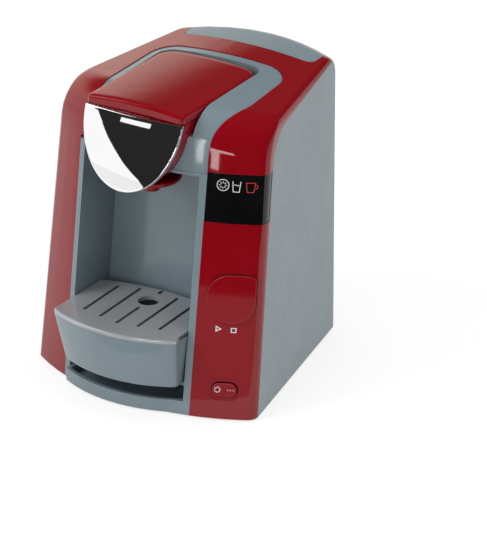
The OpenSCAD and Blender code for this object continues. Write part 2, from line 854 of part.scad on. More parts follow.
// A coil of wire from radius r0 to r1 over the height h, as one swept tube.
module coil(r0, r1, wire, h, turns, steps) {
    sides = 6;
    n = turns * steps;
    points = [for (k = [0 : n], j = [0 : sides - 1])
        let(a = 360 * k / steps, b = 360 * j / sides, r = mix(r0, r1, k / n) + wire * cos(b))
        [r * cos(a), r * sin(a), h * k / n + wire * sin(b)]];
    skin = [for (k = [0 : n - 1], j = [0 : sides - 1]) each [
        [k * sides + j, k * sides + (j + 1) % sides, (k + 1) * sides + (j + 1) % sides],
        [k * sides + j, (k + 1) * sides + (j + 1) % sides, (k + 1) * sides + j]]];
    polyhedron(points = points, faces = [each skin, [for (j = [sides - 1 : -1 : 0]) j],
        [for (j = [0 : sides - 1]) n * sides + j]], convexity = 10);
}

module power_rocker() {
    color("firebrick")
        on_face(control_mid_x, rocker_z) {
            difference() {
                translate([0, 0, rocker_axis - 1])
                    linear_extrude(1 - rocker_axis + 1) rocker_plan(-rocker_slack);
                translate([0, 0, rocker_axis - 1 - eps])
                    linear_extrude(5) rocker_plan(-2.4);
                // The pressed dish on one half, and three dimples on the other.
                translate([-rocker_l / 4, 0, 22.6]) sphere(r = 22, $fn = 64);
                for (x = [3, 5.25, 7.5])
                    translate([x, 0, 0.6]) cylinder(r = 0.6, h = 1, $fn = 16);
            }
            // The ring in the dish.
            translate([-rocker_l / 4, 0, 0])
                difference() {
                    cylinder(r = 2.4, h = 0.85, $fn = arc_n);
                    cylinder(r = 1.7, h = 2, center = true, $fn = arc_n);
                }
            rotate([90, 0, 0])
                translate([0, rocker_axis, 0])
                    cylinder(r = rocker_pin_r, h = rocker_span, center = true, $fn = arc_n);
        }
}
rocker_slack = 0.6;

module circuit_board() {
    color("darkgreen")
        on_face(control_mid_x, button_z)
            difference() {
                translate([-board_half_w, board_low, -board_depth - board_t])
                    cube([2 * board_half_w, board_high - board_low, board_t]);
                for (p = post_places)
                    translate([p.x, p.y, -far / 4]) cylinder(r = screw_r, h = far / 4, $fn = arc_n);
            }
}
module start_switch() {
    color("dimgray")
        on_face(control_mid_x, button_z) {
            translate([-3, -3, -board_depth]) cube([6, 6, switch_h - 1]);
            translate([0, 0, -board_depth]) cylinder(r = 1.8, h = switch_h, $fn = arc_n);
        }
}
power_switch_l = 16;
power_switch_t = 8;
power_switch_depth = 12;
module power_switch() {
    color("dimgray")
        on_face(control_mid_x, rocker_z)
            translate([-power_switch_l / 2, -rocker_h / 2 - gap, rocker_axis - power_switch_depth])
                cube([power_switch_l, rocker_h + 2 * gap, power_switch_t]);
}
led_pitch = 11;
led_drop = 10;
led_places = [for (x = [-led_pitch, 0, led_pitch]) [x, board_high - led_drop]];
module display_leds() {
    color("white")
        on_face(control_mid_x, button_z)
            for (p = led_places)
                translate([p.x, p.y, -board_depth]) cylinder(r = 2.5, h = 8, $fn = arc_n);
}

tray_mid = cup_mid;
tray_fit_w = cup_right - cup_left - 2 * gap;
tray_back = cup_back(tray_z) - gap;
function tray_plan(w, front, back, rear_w) =
    let(n = 12, r = arc_r(w / 2, tray_bulge), rb = arc_r(rear_w / 2, 9))
    [for (j = [0 : n]) let(x = -w / 2 + w * j / n)
        [tray_mid + x, front - tray_bulge + r - sqrt(r * r - x * x)],
     [tray_mid + min(w, tray_fit_w) / 2, front + 18],
     for (j = [0 : n]) let(x = rear_w / 2 - rear_w * j / n)
        [tray_mid + x, back - rb + sqrt(rb * rb - x * x)],
     [tray_mid - min(w, tray_fit_w) / 2, front + 18]];
module tray_top_plan(inset)
    polygon(tray_plan(tray_w - 2 * inset, inset - tray_corner_reach, tray_back - inset,
        tray_fit_w - 2 * inset));
module tray_body(inset, z0, z1)
    intersection() {
        hull() {
            translate([0, 0, z0])
                linear_extrude(eps)
                    polygon(tray_plan(tray_bottom_w - 2 * inset, tray_rake - tray_corner_reach + inset,
                        tray_back - inset, tray_bottom_w - 2 * inset));
            translate([0, 0, z1 - eps]) linear_extrude(eps) tray_top_plan(inset);
        }
        translate([0, 0, z0]) linear_extrude(z1 - z0) tray_top_plan(inset);
    }
module drip_tray() {
    color("lightslategray")
        difference() {
            tray_body(0, tray_z, tray_z + tray_h);
            tray_body(tray_wall, tray_z + tray_wall, tray_z + tray_h + 1);
        }
}

grate_z = tray_z + tray_h;
slots = [[-2, 6, 56], [-1, 2, 61], [0, -2, 31], [1, 2, 61], [2, 6, 56]];
hole_y = 45.5;
grate_rim_h = 4;
grate_rim_inset = 4;
grate_rim_t = 2;
module drip_grate() {
    color("darkgray")
        difference() {
            union() {
                translate([0, 0, grate_z]) linear_extrude(grate_t) tray_top_plan(0);
                // The rim under it that keeps it inside the tray's wall.
                translate([0, 0, grate_z - grate_rim_h])
                    linear_extrude(grate_rim_h + eps)
                        difference() {
                            tray_top_plan(grate_rim_inset);
                            tray_top_plan(grate_rim_inset + grate_rim_t);
                        }
            }
            for (s = slots)
                slot(tray_mid + s[0] * slot_pitch, s[1], s[2]);
            slot(tray_mid, 62, 66);
            translate([tray_mid, hole_y, 0]) cylinder(r = grate_hole_r, h = far, $fn = mid_n);
        }
}
module slot(x, y0, y1) {
    translate([x, y0, 0]) cylinder(r = slot_w / 2, h = far, $fn = 24);
    translate([x, y1, 0]) cylinder(r = slot_w / 2, h = far, $fn = 24);
    box([x - slot_w / 2, y0, 0], [x + slot_w / 2, y1, far]);
}

module tank_solid(inset, z0, z1)
    translate([0, 0, z0])
        linear_extrude(z1 - z0)
            translate([-tank_x, 0])
                polygon(rounded([[-tank_half_w + inset, tank_y0 + inset, 5 - inset],
                    [tank_half_w - inset, tank_y0 + inset, 5 - inset],
                    [tank_half_w - inset, tank_y0 + tank_d - inset, 5 - inset],
                    [-tank_half_w + inset, tank_y0 + tank_d - inset, 5 - inset]], 6));
module water_tank() {
    color("lightsteelblue")
        difference() {
            tank_solid(0, tank_z, tank_top);
            tank_solid(tank_wall, tank_z + tank_wall, far);
        }
}
module tank_lid() {
    color("slategray")
        difference() {
            intersection() {
                form();
                tank_lid_zone(0);
            }
            difference() {
                intersection() {
                    form(panel_t, inner_z);
                    tank_lid_zone(-panel_t, inner_z);
                }
                tank_rim();
            }
        }
}
// The rim that stands on the tank's wall.
module tank_rim()
    difference() {
        tank_solid(-1, tank_top, far);
        tank_solid(tank_wall, 0, far);
    }

// Battery bay, moulded into the base plate: two cells lie side by side along X.
bay_wall = 2;
cell_pitch = 2 * cell_r + 0.8;
bay_mid = [-20, 130];
bay_half = [cell_l / 2 + 5, cell_pitch + 1];
bay_h = 2 * cell_r + 3.4;
door_t = 2;
module bay(g, z0, z1)
    box([bay_mid.x - bay_half.x - g, bay_mid.y - bay_half.y - g, z0],
        [bay_mid.x + bay_half.x + g, bay_mid.y + bay_half.y + g, z1]);
door_post_r = 5;
door_post_h = 14;
door_screw_place = [bay_mid.x, bay_mid.y + bay_half.y + bay_wall + door_post_r - 0.8];
door_lip = 3;
tab_half = 8;
tab_y = door_screw_place.y + 6;
speaker_inset = 61.5;
speaker_place = [body_w / 2 - speaker_inset, 135];
grille_hole_r = 1.6;
grille_ring_r = 7;
grille_cut = 20;
module base_plate() {
    color("dimgray")
        difference() {
            union() {
                intersection() {
                    lower_form(panel_t + seat);
                    box([-far, -far, 0], [far, far, base_t]);
                }
                bay(bay_wall, 0, base_t + bay_h + bay_wall);
                translate([door_screw_place.x, door_screw_place.y, 0])
                    cylinder(r = door_post_r, h = door_post_h, $fn = arc_n);
                translate([speaker_place.x, speaker_place.y, 0])
                    cylinder(r = speaker_r + 2, h = base_t + 4, $fn = mid_n);
            }
            // Room for the front frame's foot.
            box([-left_x - seat, -far, inner_z], [control_x + seat, cup_back(base_t) + wall + seat, far]);
            bay(0, inner_z, base_t + bay_h);
            door_shape(seat / 2, inner_z);
            translate([door_screw_place.x, door_screw_place.y, inner_z])
                cylinder(r = screw_r, h = door_post_h - inner_z - 4, $fn = arc_n);
            translate([speaker_place.x, speaker_place.y, base_t])
                cylinder(r = speaker_r + seat, h = far, $fn = mid_n);
            for (k = [0 : 5])
                translate([speaker_place.x + grille_ring_r * cos(60 * k),
                    speaker_place.y + grille_ring_r * sin(60 * k), inner_z])
                    cylinder(r = grille_hole_r, h = grille_cut, $fn = 16);
            for (p = pad_places)
                translate([p.x, p.y, inner_z]) cylinder(r = pad_r, h = pad_sink - inner_z, $fn = mid_n);
            for (p = boss_places) {
                translate([p.x, p.y, inner_z]) cylinder(r = screw_r + 0.2, h = 20, $fn = arc_n);
                translate([p.x, p.y, inner_z])
                    cylinder(r = screw_head_r + 0.3, h = 1.2 - inner_z, $fn = arc_n);
            }
        }
}
pad_sink = 1;
front_pad_y = 52;
back_pad_inset = 26;
pad_ys = [front_pad_y, body_d - back_pad_inset];
pad_places = by_sides(pad_ys, wall + pad_r + 2);

function door_plan(h, g) = [
    [bay_mid.x - h.x - g, bay_mid.y - h.y - g, door_lip],
    [bay_mid.x + h.x + g, bay_mid.y - h.y - g, door_lip],
    [bay_mid.x + h.x + g, bay_mid.y + h.y + g, door_lip],
    [bay_mid.x + tab_half + g, bay_mid.y + h.y + g, 0], [bay_mid.x + tab_half + g, tab_y + g, 5],
    [bay_mid.x - tab_half - g, tab_y + g, 5], [bay_mid.x - tab_half - g, bay_mid.y + h.y + g, 0],
    [bay_mid.x - h.x - g, bay_mid.y + h.y + g, door_lip]];
module door_shape(g, z0)
    translate([0, 0, z0])
        linear_extrude(door_t - z0)
            polygon(rounded(door_plan([bay_half.x + door_lip, bay_half.y + door_lip], g), 4));
module battery_door() {
    color("dimgray")
        difference() {
            door_shape(-seat / 2, 0);
            translate([door_screw_place.x, door_screw_place.y, inner_z]) {
                cylinder(r = screw_r + 0.2, h = far, $fn = arc_n);
                cylinder(r = screw_head_r + 0.3, h = 1.2 - inner_z, $fn = arc_n);
            }
        }
}
module screw(p, z, l)
    translate([p.x, p.y, z]) {
        cylinder(r = screw_head_r, h = 1.2, $fn = arc_n);
        cylinder(r = screw_r - 0.05, h = l, $fn = arc_n);
    }
module door_screw() {
    color("silver") screw(door_screw_place, 0, door_post_h - 5);
}
cell_z = door_t + 0.3 + cell_r;
module battery_cells() {
    color("goldenrod")
        for (s = [-1, 1])
            translate([bay_mid.x - cell_l / 2, bay_mid.y + s * cell_pitch / 2, cell_z])
                rotate([0, 90, 0]) {
                    cylinder(r = cell_r, h = cell_l - 1, $fn = mid_n);
                    cylinder(r = 2.6, h = cell_l, $fn = arc_n);
                }
}
contact_gap = (2 * bay_half.x - cell_l) / 2;
contact_w = 10;
module battery_contacts() {
    color("silver")
        for (s = [-1, 1], e = [-1, 1])
            translate([bay_mid.x + e * (bay_half.x - 0.3), bay_mid.y + s * cell_pitch / 2, cell_z])
                rotate([0, -90 * e, 0]) {
                    translate([-contact_w / 2, -contact_w / 2, -0.2]) cube([contact_w, contact_w, 0.5]);
                    translate([0, 0, 0.4]) coil(3.6, 2.2, 0.4, contact_gap - 1.2, 3, 12);
                }
}
module speaker() {
    color("dimgray")
        translate([speaker_place.x, speaker_place.y, base_t]) {
            cylinder(r = speaker_r, h = 2.4, $fn = mid_n);
            cylinder(r1 = speaker_r * 0.8, r2 = speaker_r * 0.45, h = 7, $fn = mid_n);
            cylinder(r = speaker_r * 0.45, h = 11, $fn = mid_n);
        }
}
module rubber_feet() {
    color("black")
        for (p = pad_places)
            translate([p.x, p.y, -foot_gap]) cylinder(r = pad_r - 0.1, h = foot_gap + pad_sink, $fn = mid_n);
}
base_screw_clear = 12;
module base_screws() {
    color("silver")
        for (p = boss_places)
            screw(p, 0, boss_h - base_screw_clear);
}
post_head_h = 1.4;
module panel_screws() {
    color("silver")
        on_face(control_mid_x, button_z)
            for (p = post_places)
                translate([p.x, p.y, -board_depth - board_t - post_head_h]) {
                    cylinder(r = post_r, h = post_head_h, $fn = arc_n);
                    cylinder(r = post_screw_r, h = post_head_h + board_t + post_bore_l - 1, $fn = arc_n);
                }
}

// The origin is at the middle of the part's box, on the surface that it stands on.
tray_front = -tray_corner_reach - tray_bulge;
mid_y = (tray_front + body_d) / 2;
base_xs = [for (p = outline(0)) p.x];
mid_x = (max(base_xs) + min(base_xs)) / 2;
module place()
    translate([-mid_x, -mid_y, foot_gap]) children();

place() main_shell();
place() front_frame();
place() base_plate();
place() left_panel();
place() control_panel();
place() display_window();
place() top_cover();
place() head_surround();
place() brew_head();
place() chrome_shield();
place() spout();
place() head_lid();
place() lid_hinge_pin();
place() start_button();
place() button_spring();
place() power_rocker();
place() circuit_board();
place() start_switch();
place() power_switch();
place() display_leds();
place() drip_tray();
place() drip_grate();
place() water_tank();
place() tank_lid();
place() battery_door();
place() door_screw();
place() battery_cells();
place() battery_contacts();
place() speaker();
place() rubber_feet();
place() base_screws();
place() panel_screws();
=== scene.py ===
import math

import bmesh
import bpy
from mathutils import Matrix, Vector


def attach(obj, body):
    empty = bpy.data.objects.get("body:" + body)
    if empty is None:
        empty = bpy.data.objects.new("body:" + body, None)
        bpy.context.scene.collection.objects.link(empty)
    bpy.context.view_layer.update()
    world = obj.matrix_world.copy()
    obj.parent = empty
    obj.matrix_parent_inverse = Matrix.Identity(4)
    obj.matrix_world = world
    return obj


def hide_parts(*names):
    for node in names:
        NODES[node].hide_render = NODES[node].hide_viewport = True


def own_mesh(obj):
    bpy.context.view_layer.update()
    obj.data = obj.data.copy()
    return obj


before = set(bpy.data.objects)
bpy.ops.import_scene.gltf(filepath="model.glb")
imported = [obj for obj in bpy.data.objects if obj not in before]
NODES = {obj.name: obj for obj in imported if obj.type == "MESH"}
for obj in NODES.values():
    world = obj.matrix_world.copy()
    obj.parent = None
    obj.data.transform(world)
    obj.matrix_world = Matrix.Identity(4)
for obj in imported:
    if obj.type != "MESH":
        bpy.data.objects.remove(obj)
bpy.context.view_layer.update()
MM = 0.001

# ---------------------------------------------------------------- materials


class Material:
    """One material: a Principled shader and the nodes that feed it."""

    def __init__(self, name, **values):
        self.material = bpy.data.materials.new(name)
        self.material.use_nodes = True
        self.tree = self.material.node_tree
        self.tree.nodes.clear()
        self.shader = self.tree.nodes.new("ShaderNodeBsdfPrincipled")
        output = self.tree.nodes.new("ShaderNodeOutputMaterial")
        self.link(self.shader.outputs[0], output.inputs["Surface"])
        self.place = self.tree.nodes.new("ShaderNodeTexCoord").outputs["Object"]
        self.normal = None
        for socket, value in values.items():
            self.shader.inputs[socket.replace("_", " ")].default_value = value

    def link(self, out, into):
        self.tree.links.new(out, into)

    def noise(self, size_mm, detail, rough=0.55, stretch=(1, 1, 1)):
        """Noise with blobs of about that size, between 0 and 1."""
        mapping = self.tree.nodes.new("ShaderNodeMapping")
        self.link(self.place, mapping.inputs["Vector"])
        mapping.inputs["Scale"].default_value = [s / (size_mm * MM) for s in stretch]
        node = self.tree.nodes.new("ShaderNodeTexNoise")
        self.link(mapping.outputs[0], node.inputs["Vector"])
        node.inputs["Scale"].default_value = 1.0
        node.inputs["Detail"].default_value = detail
        node.inputs["Roughness"].default_value = rough
        return node.outputs["Fac"]

    def span(self, value, low, high, start, end):
        """The value moved from start..end to low..high and clamped there."""
        node = self.tree.nodes.new("ShaderNodeMapRange")
        self.link(value, node.inputs["Value"])
        for socket, number in (("From Min", start), ("From Max", end), ("To Min", low), ("To Max", high)):
            node.inputs[socket].default_value = number
        return node.outputs["Result"]

    def math(self, kind, a, b):
        node = self.tree.nodes.new("ShaderNodeMath")
        node.operation = kind
        for i, value in enumerate((a, b)):
            if isinstance(value, (int, float)):
                node.inputs[i].default_value = value
            else:
                self.link(value, node.inputs[i])
        return node.outputs[0]

    def mix(self, factor, a, b):
        node = self.tree.nodes.new("ShaderNodeMix")
        node.data_type = "RGBA"
        self.link(factor, node.inputs["Factor"])
        for socket, value in ((node.inputs["A"], a), (node.inputs["B"], b)):
            if isinstance(value, tuple):
                socket.default_value = (*value, 1.0)
            else:
                self.link(value, socket)
        return node.outputs["Result"]

    def bump(self, height, depth_mm):
        node = self.tree.nodes.new("ShaderNodeBump")
        node.inputs["Strength"].default_value = 1.0
        node.inputs["Distance"].default_value = depth_mm * MM
        self.link(height, node.inputs["Height"])
        if self.normal is not None:
            self.link(self.normal, node.inputs["Normal"])
        self.normal = node.outputs[0]

    def edges(self, radius_mm):
        """1 on edges and 0 on flat stretches."""
        bevel = self.tree.nodes.new("ShaderNodeBevel")
        bevel.samples = 4
        bevel.inputs["Radius"].default_value = radius_mm * MM
        geometry = self.tree.nodes.new("ShaderNodeNewGeometry")
        dot = self.tree.nodes.new("ShaderNodeVectorMath")
        dot.operation = "DOT_PRODUCT"
        self.link(bevel.outputs[0], dot.inputs[0])
        self.link(geometry.outputs["Normal"], dot.inputs[1])
        return self.span(dot.outputs["Value"], 1.0, 0.0, 0.80, 0.99)

    def painted_cavity_shade(self, reach_mm):
        """Painted shade: 1 in slots and other narrow places, where shade falls, and 0 in the open."""
        node = self.tree.nodes.new("ShaderNodeAmbientOcclusion")
        node.samples = 8
        node.inputs["Distance"].default_value = reach_mm * MM
        return self.span(node.outputs["AO"], 1.0, 0.0, 0.35, 0.75)

    def done(self, color, roughness):
        for socket, value in (("Base Color", color), ("Roughness", roughness), ("Normal", self.normal)):
            self.link(value, self.shader.inputs[socket])
        return self.material


# Sizes in millimetres of what every plastic shows, the reach of the painted shade in cavities among them,
# and how much rougher its worn edges are.
DRIFT_MM, SCUFF_MM, WAVE_MM, WORN_AND_HIGHLIGHT_MM, CAVITY_SHADE_MM = 45, 9, 26, 0.9, 5
WORN_ROUGHNESS = 0.12


def moulded(name, low, high, worn_and_highlight, gloss, grain_mm, grain_depth, wave_depth, wear_and_highlight=0.5, cavity_shade=None,
            **values):
    """Moulded plastic: a slow drift of colour from low to high, a fine grain, a faint waviness, lighter
    edges that are wear on most plastics and a painted highlight on the button's, and a painted shade in
    its cavities if a shade colour is named. Depths are in millimetres."""
    m = Material(name, **values)
    drift = m.mix(m.span(m.noise(DRIFT_MM, 2), 0, 1, 0.35, 0.65), low, high)
    scuffs = m.noise(SCUFF_MM, 5, 0.65)
    # Lighter edges: wear on most plastics, and a painted highlight where the edge colour is the button's.
    edge = m.math("MULTIPLY", m.edges(WORN_AND_HIGHLIGHT_MM), m.span(scuffs, 0.2, wear_and_highlight, 0.35, 0.7))
    rough = m.span(scuffs, *gloss, 0.3, 0.7)
    m.bump(m.noise(grain_mm, 2), grain_depth)
    m.bump(m.noise(WAVE_MM, 1), wave_depth)
    color = m.mix(edge, drift, worn_and_highlight)
    # Painted shade: the colour turns towards the shade colour in cavities.
    if cavity_shade:
        color = m.mix(m.painted_cavity_shade(CAVITY_SHADE_MM), color, cavity_shade)
    return m.done(color, m.math("ADD", rough, m.math("MULTIPLY", edge, WORN_ROUGHNESS)))


RED_LOW, RED_HIGH = (0.192, 0.0016, 0.0052), (0.208, 0.0022, 0.0064)

MAT = {
    "grey": moulded("grey_satin_plastic", (0.152, 0.200, 0.223), (0.167, 0.217, 0.241), (0.25, 0.31, 0.34),
                    (0.28, 0.36), 0.5, 0.008, 0.06, IOR=1.46),
    "frame": moulded("grey_polished_plastic", (0.146, 0.192, 0.216), (0.158, 0.206, 0.231),
                     (0.24, 0.30, 0.33), (0.07, 0.11), 0.6, 0.002, 0.03, IOR=1.48),
    "red": moulded("red_gloss_plastic", RED_LOW, RED_HIGH, (0.27, 0.010, 0.014),
                   (0.035, 0.07), 0.7, 0.001, 0.02, IOR=1.46),
    # Painted highlight: the button's and the rocker's pale pink edge colour stands in for light caught on
    # their rounded edges.
    "button": moulded("red_button_painted_highlight", RED_LOW, RED_HIGH, (0.55, 0.20, 0.21),
                      (0.035, 0.07), 0.7, 0.001, 0.01, wear_and_highlight=0.9, IOR=1.46),
    "window": moulded("black_window", (0.0025, 0.0025, 0.003), (0.004, 0.004, 0.0045), (0.02, 0.02, 0.022),
                      (0.04, 0.07), 0.6, 0.001, 0.015, IOR=1.47),
    # The grate's near-black cavity colour is painted shade in its slots.
    "grate": moulded("silver_grey_plastic", (0.36, 0.38, 0.395), (0.40, 0.42, 0.435), (0.66, 0.67, 0.68),
                     (0.16, 0.24), 0.45, 0.004, 0.02, cavity_shade=(0.03, 0.033, 0.035), Metallic=0.40, IOR=1.50),
    "tank": moulded("tank_plastic", (0.36, 0.41, 0.44), (0.40, 0.45, 0.48), (0.5, 0.55, 0.58),
                    (0.30, 0.40), 0.6, 0.008, 0.06, IOR=1.48),
    "dark": moulded("dark_base_plastic", (0.018, 0.021, 0.023), (0.024, 0.027, 0.030), (0.07, 0.075, 0.08),
                    (0.48, 0.60), 0.6, 0.03, 0.05, IOR=1.47),
    "rubber": moulded("foot_rubber", (0.010, 0.010, 0.010), (0.015, 0.015, 0.015), (0.04, 0.04, 0.04),
                       (0.75, 0.88), 0.4, 0.03, 0.03, IOR=1.5),
    "board": moulded("board_lacquer", (0.010, 0.075, 0.026), (0.014, 0.095, 0.034), (0.05, 0.16, 0.07),
                     (0.30, 0.42), 1.2, 0.02, 0.03, IOR=1.5),
    "led": moulded("led_clear", (0.70, 0.70, 0.66), (0.78, 0.78, 0.74), (0.85, 0.85, 0.83),
                   (0.12, 0.20), 0.6, 0.002, 0.02, IOR=1.5),
    "wrap": moulded("battery_wrap", (0.45, 0.25, 0.03), (0.52, 0.30, 0.04), (0.6, 0.45, 0.2),
                    (0.22, 0.32), 0.5, 0.004, 0.02, Metallic=0.6),
    "white_mark": moulded("white_print", (0.52, 0.53, 0.54), (0.60, 0.61, 0.62), (0.64, 0.65, 0.66),
                          (0.40, 0.50), 0.3, 0.004, 0.01),
    "red_mark": moulded("red_print", (0.36, 0.010, 0.014), (0.40, 0.014, 0.018), (0.45, 0.03, 0.03),
                        (0.40, 0.50), 0.3, 0.004, 0.01),
}


CLOUD_MM, BRIGHT_EDGE_MM = 14, 0.5
LINE_STRETCH = (1, 1, 0.06)


def metal(name, color, gloss, line_mm, depth):
    """Plated or bare metal: fine lines, a faint cloudiness and brighter edges."""
    m = Material(name, Metallic=1.0)
    dull = tuple(c * 0.97 for c in color)
    bright = tuple(min(c * 1.08, 0.97) for c in color)
    cloud = m.noise(CLOUD_MM, 4, 0.6)
    tint = m.mix(m.span(cloud, 0, 1, 0.3, 0.7), dull, color)
    m.bump(m.noise(line_mm, 2, 0.5, LINE_STRETCH), depth)
    edge = m.edges(BRIGHT_EDGE_MM)
    rough = m.span(cloud, *gloss, 0.3, 0.7)
    return m.done(m.mix(m.math("MULTIPLY", edge, 0.5), tint, bright),
                  m.math("ADD", rough, m.math("MULTIPLY", edge, 0.05)))


MAT["chrome"] = metal("chrome_plating", (0.965, 0.965, 0.97), (0.012, 0.028), 0.8, 0.0002)
MAT["steel"] = metal("plated_steel", (0.62, 0.62, 0.63), (0.24, 0.34), 0.4, 0.004)

FINISH = {
    "grey": ("main_shell", "tank_lid"),
    "frame": ("head_surround", "front_frame", "drip_tray"),
    "red": ("left_panel", "control_panel", "top_cover", "brew_head", "spout", "head_lid"),
    "button": ("start_button", "power_rocker"),
    "chrome": ("chrome_shield",),
    "window": ("display_window",),
    "grate": ("drip_grate",),
    "tank": ("water_tank",),
    "dark": ("base_plate", "battery_door", "speaker", "start_switch", "power_switch"),
    "steel": ("lid_hinge_pin", "button_spring", "door_screw", "battery_contacts", "base_screws",
              "panel_screws"),
    "board": ("circuit_board",),
    "led": ("display_leds",),
    "wrap": ("battery_cells",),
    "rubber": ("rubber_feet",),
}
# Width of the rounded edges in millimetres; nodes that aren't named keep their sharp edges.
ROUNDING = {
    "main_shell": 0.5, "front_frame": 0.8, "left_panel": 0.5, "control_panel": 0.45, "top_cover": 0.5,
    "head_surround": 0.7, "display_window": 0.3, "brew_head": 0.5, "chrome_shield": 0.35, "spout": 0.5,
    "head_lid": 1.1, "start_button": 1.2, "power_rocker": 0.8, "drip_tray": 0.7, "drip_grate": 0.9,
    "tank_lid": 0.5, "water_tank": 0.5, "base_plate": 0.4, "battery_door": 0.3, "rubber_feet": 0.4,
}
MERGE_MM = 0.004
FLAT_ANGLE = math.radians(0.6)
EDGE_ANGLE = math.radians(38)


def round_edges(thing, width, angle, segments):
    """Rounds the edges over that angle by modifiers, and keeps the faces between them evenly shaded."""
    bevel = thing.modifiers.new("edges", "BEVEL")
    bevel.width = width * MM
    bevel.segments = segments
    bevel.limit_method = "ANGLE"
    bevel.angle_limit = angle
    bevel.use_clamp_overlap = True
    even = thing.modifiers.new("even", "WEIGHTED_NORMAL")
    even.weight = 50
    even.keep_sharp = False


def dress(node, material, width):
    """Gives a CAD node its finish, rounded edges and smooth shading."""
    node.data.materials.clear()
    node.data.materials.append(material)
    for polygon in node.data.polygons:
        polygon.use_smooth = True
    weld = node.modifiers.new("weld", "WELD")
    weld.merge_threshold = MERGE_MM * MM
    flat = node.modifiers.new("flat", "DECIMATE")
    flat.decimate_type = "DISSOLVE"
    flat.angle_limit = FLAT_ANGLE
    if width:
        round_edges(node, width, EDGE_ANGLE, 3)
    else:
        split = node.modifiers.new("sharp", "EDGE_SPLIT")
        split.split_angle = EDGE_ANGLE


for finish, names in FINISH.items():
    for name in names:
        dress(NODES[name], MAT[finish], ROUNDING.get(name))

# ---------------------------------------------------------------- own pieces
# Their sizes are in millimetres from the middle of the body's bottom front edge, as in part.scad.

ORIGIN = Vector((-8.188901, 100.45, -1.5))
HEAD_X = -13.0
HEAD_HALF = 46.0


def row(point):
    """A point of part.scad in the frame's metres."""
    return (Vector(point) - ORIGIN) * MM


def piece(name, points, faces, material, body, replaced=None):
    """A smooth mesh that rides on a body, and stands for a CAD node if one is named."""
    mesh = bpy.data.meshes.new(name)
    mesh.from_pydata([row(p) for p in points], [], faces)
    mesh.materials.append(material)
    shape = bmesh.new()
    shape.from_mesh(mesh)
    bmesh.ops.remove_doubles(shape, verts=shape.verts, dist=0.002 * MM)
    bmesh.ops.recalc_face_normals(shape, faces=shape.faces)
    for face in shape.faces:
        face.smooth = True
    shape.to_mesh(mesh)
    shape.free()
    thing = bpy.data.objects.new(name, mesh)
    bpy.context.scene.collection.objects.link(thing)
    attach(thing, body)
    if replaced:
        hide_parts(replaced)
    return thing


def sharpen(thing, angle=35):
    """Keeps edges over that angle sharp."""
    shape = bmesh.new()
    shape.from_mesh(thing.data)
    for edge in shape.edges:
        if len(edge.link_faces) == 2 and edge.calc_face_angle() > math.radians(angle):
            edge.smooth = False
    shape.to_mesh(thing.data)
    shape.free()


def ring_faces(rings, skip=()):
    """Quads between neighbouring rings of equal length."""
    n = len(rings[0])
    return [(a * n + j, a * n + (j + 1) % n, (a + 1) * n + (j + 1) % n, (a + 1) * n + j)
            for a in range(len(rings) - 1) for j in range(n) if (a, j) not in skip]


def steps(a, b, n):
    """The starts of n even steps from a to b."""
    return [a + (b - a) * k / n for k in range(n)]


def flat_quads(start, n, first, second):
    """Quads between two of the loops of n points that follow each other from start on."""
    a, b = start + first * n, start + second * n
    return [(a + j, a + (j + 1) % n, b + (j + 1) % n, b + j) for j in range(n)]


def arc(cx, cy, r, a0, a1, n):
    """Points on an arc with their outward directions."""
    found = []
    for k in range(n + 1):
        a = math.radians(a0 + (a1 - a0) * k / n)
        u = (math.cos(a), math.sin(a))
        found.append((cx + r * u[0], cy + r * u[1], *u))
    return found


def roll(r, z):
    """Insets and heights of a rounded upper edge of that radius, which ends level at height z."""
    return [(r * (1 - math.cos(a)), z - r * (1 - math.sin(a)))
            for a in (math.radians(15 * k) for k in range(7))]


# The lid: a crowned skin with rounded edges, notched at its back for the hinge's cheeks.
LID_FRONT, LID_BACK, LID_LOW = 27.4, 144.4, 242.9
LID_FRONT_R, LID_BACK_R = 4.0, 15.0
LID_EDGE, LID_LOW_EDGE, LID_SKIN = 3.0, 0.4, 2.2
LID_CROWN_TOP, LID_CROWN_R = 252.1, 408.33
LID_FALL = math.tan(math.radians(1.2))
# The lid's spine, which the rings of its crown close in on, ends this far from the front and the back.
LID_SPINE_END = 40
NOTCHES = ((18.0, 25.8), (-25.8, -18.0))
NOTCH_TOP = 246.2
PIN_Y, PIN_Z = 138.9, 243.8
PIN_BORE, KNUCKLE_R, KNUCKLE_UP, KNUCKLE_HALF = 1.26, 2.6, 4.4, 18
# The angle, in degrees, at which the knuckle's straight web meets its level top.
WEB_CORNER = 59.4


def lid_top(x, y):
    """Height of the lid's crowned and falling top."""
    return (LID_CROWN_TOP - (y - LID_FRONT) * LID_FALL - LID_CROWN_R
            + math.sqrt(LID_CROWN_R ** 2 - (x - HEAD_X) ** 2))


def lid_outline():
    """The lid's outline, as (x, y, outward x, outward y), with stops at the notches' sides."""
    front_r, back_r = LID_FRONT_R, LID_BACK_R
    left, right = HEAD_X - HEAD_HALF, HEAD_X + HEAD_HALF
    points = [(x, LID_FRONT, 0, -1) for x in steps(left + front_r, right - front_r, 36)]
    points += arc(right - front_r, LID_FRONT + front_r, front_r, -90, 0, 8)
    points += [(right, y, 1, 0) for y in steps(LID_FRONT + front_r, LID_BACK - back_r, 30)[1:]]
    points += arc(right - back_r, LID_BACK - back_r, back_r, 0, 90, 14)
    stops = [right - back_r]
    for a, b in NOTCHES:
        stops += [HEAD_X + b, HEAD_X + a]
    stops += [left + back_r]
    for a, b in zip(stops, stops[1:]):
        points += [(x, LID_BACK, 0, 1) for x in steps(a, b, 8)[1 if a == stops[0] else 0:]]
    points += arc(left + back_r, LID_BACK - back_r, back_r, 90, 180, 14)
    points += [(left, y, -1, 0) for y in steps(LID_BACK - back_r, LID_FRONT + front_r, 30)[1:]]
    points += arc(left + front_r, LID_FRONT + front_r, front_r, 180, 270, 8)[:-1]
    return points


def in_notch(x):
    return any(HEAD_X + a - 0.01 <= x <= HEAD_X + b + 0.01 for a, b in NOTCHES)


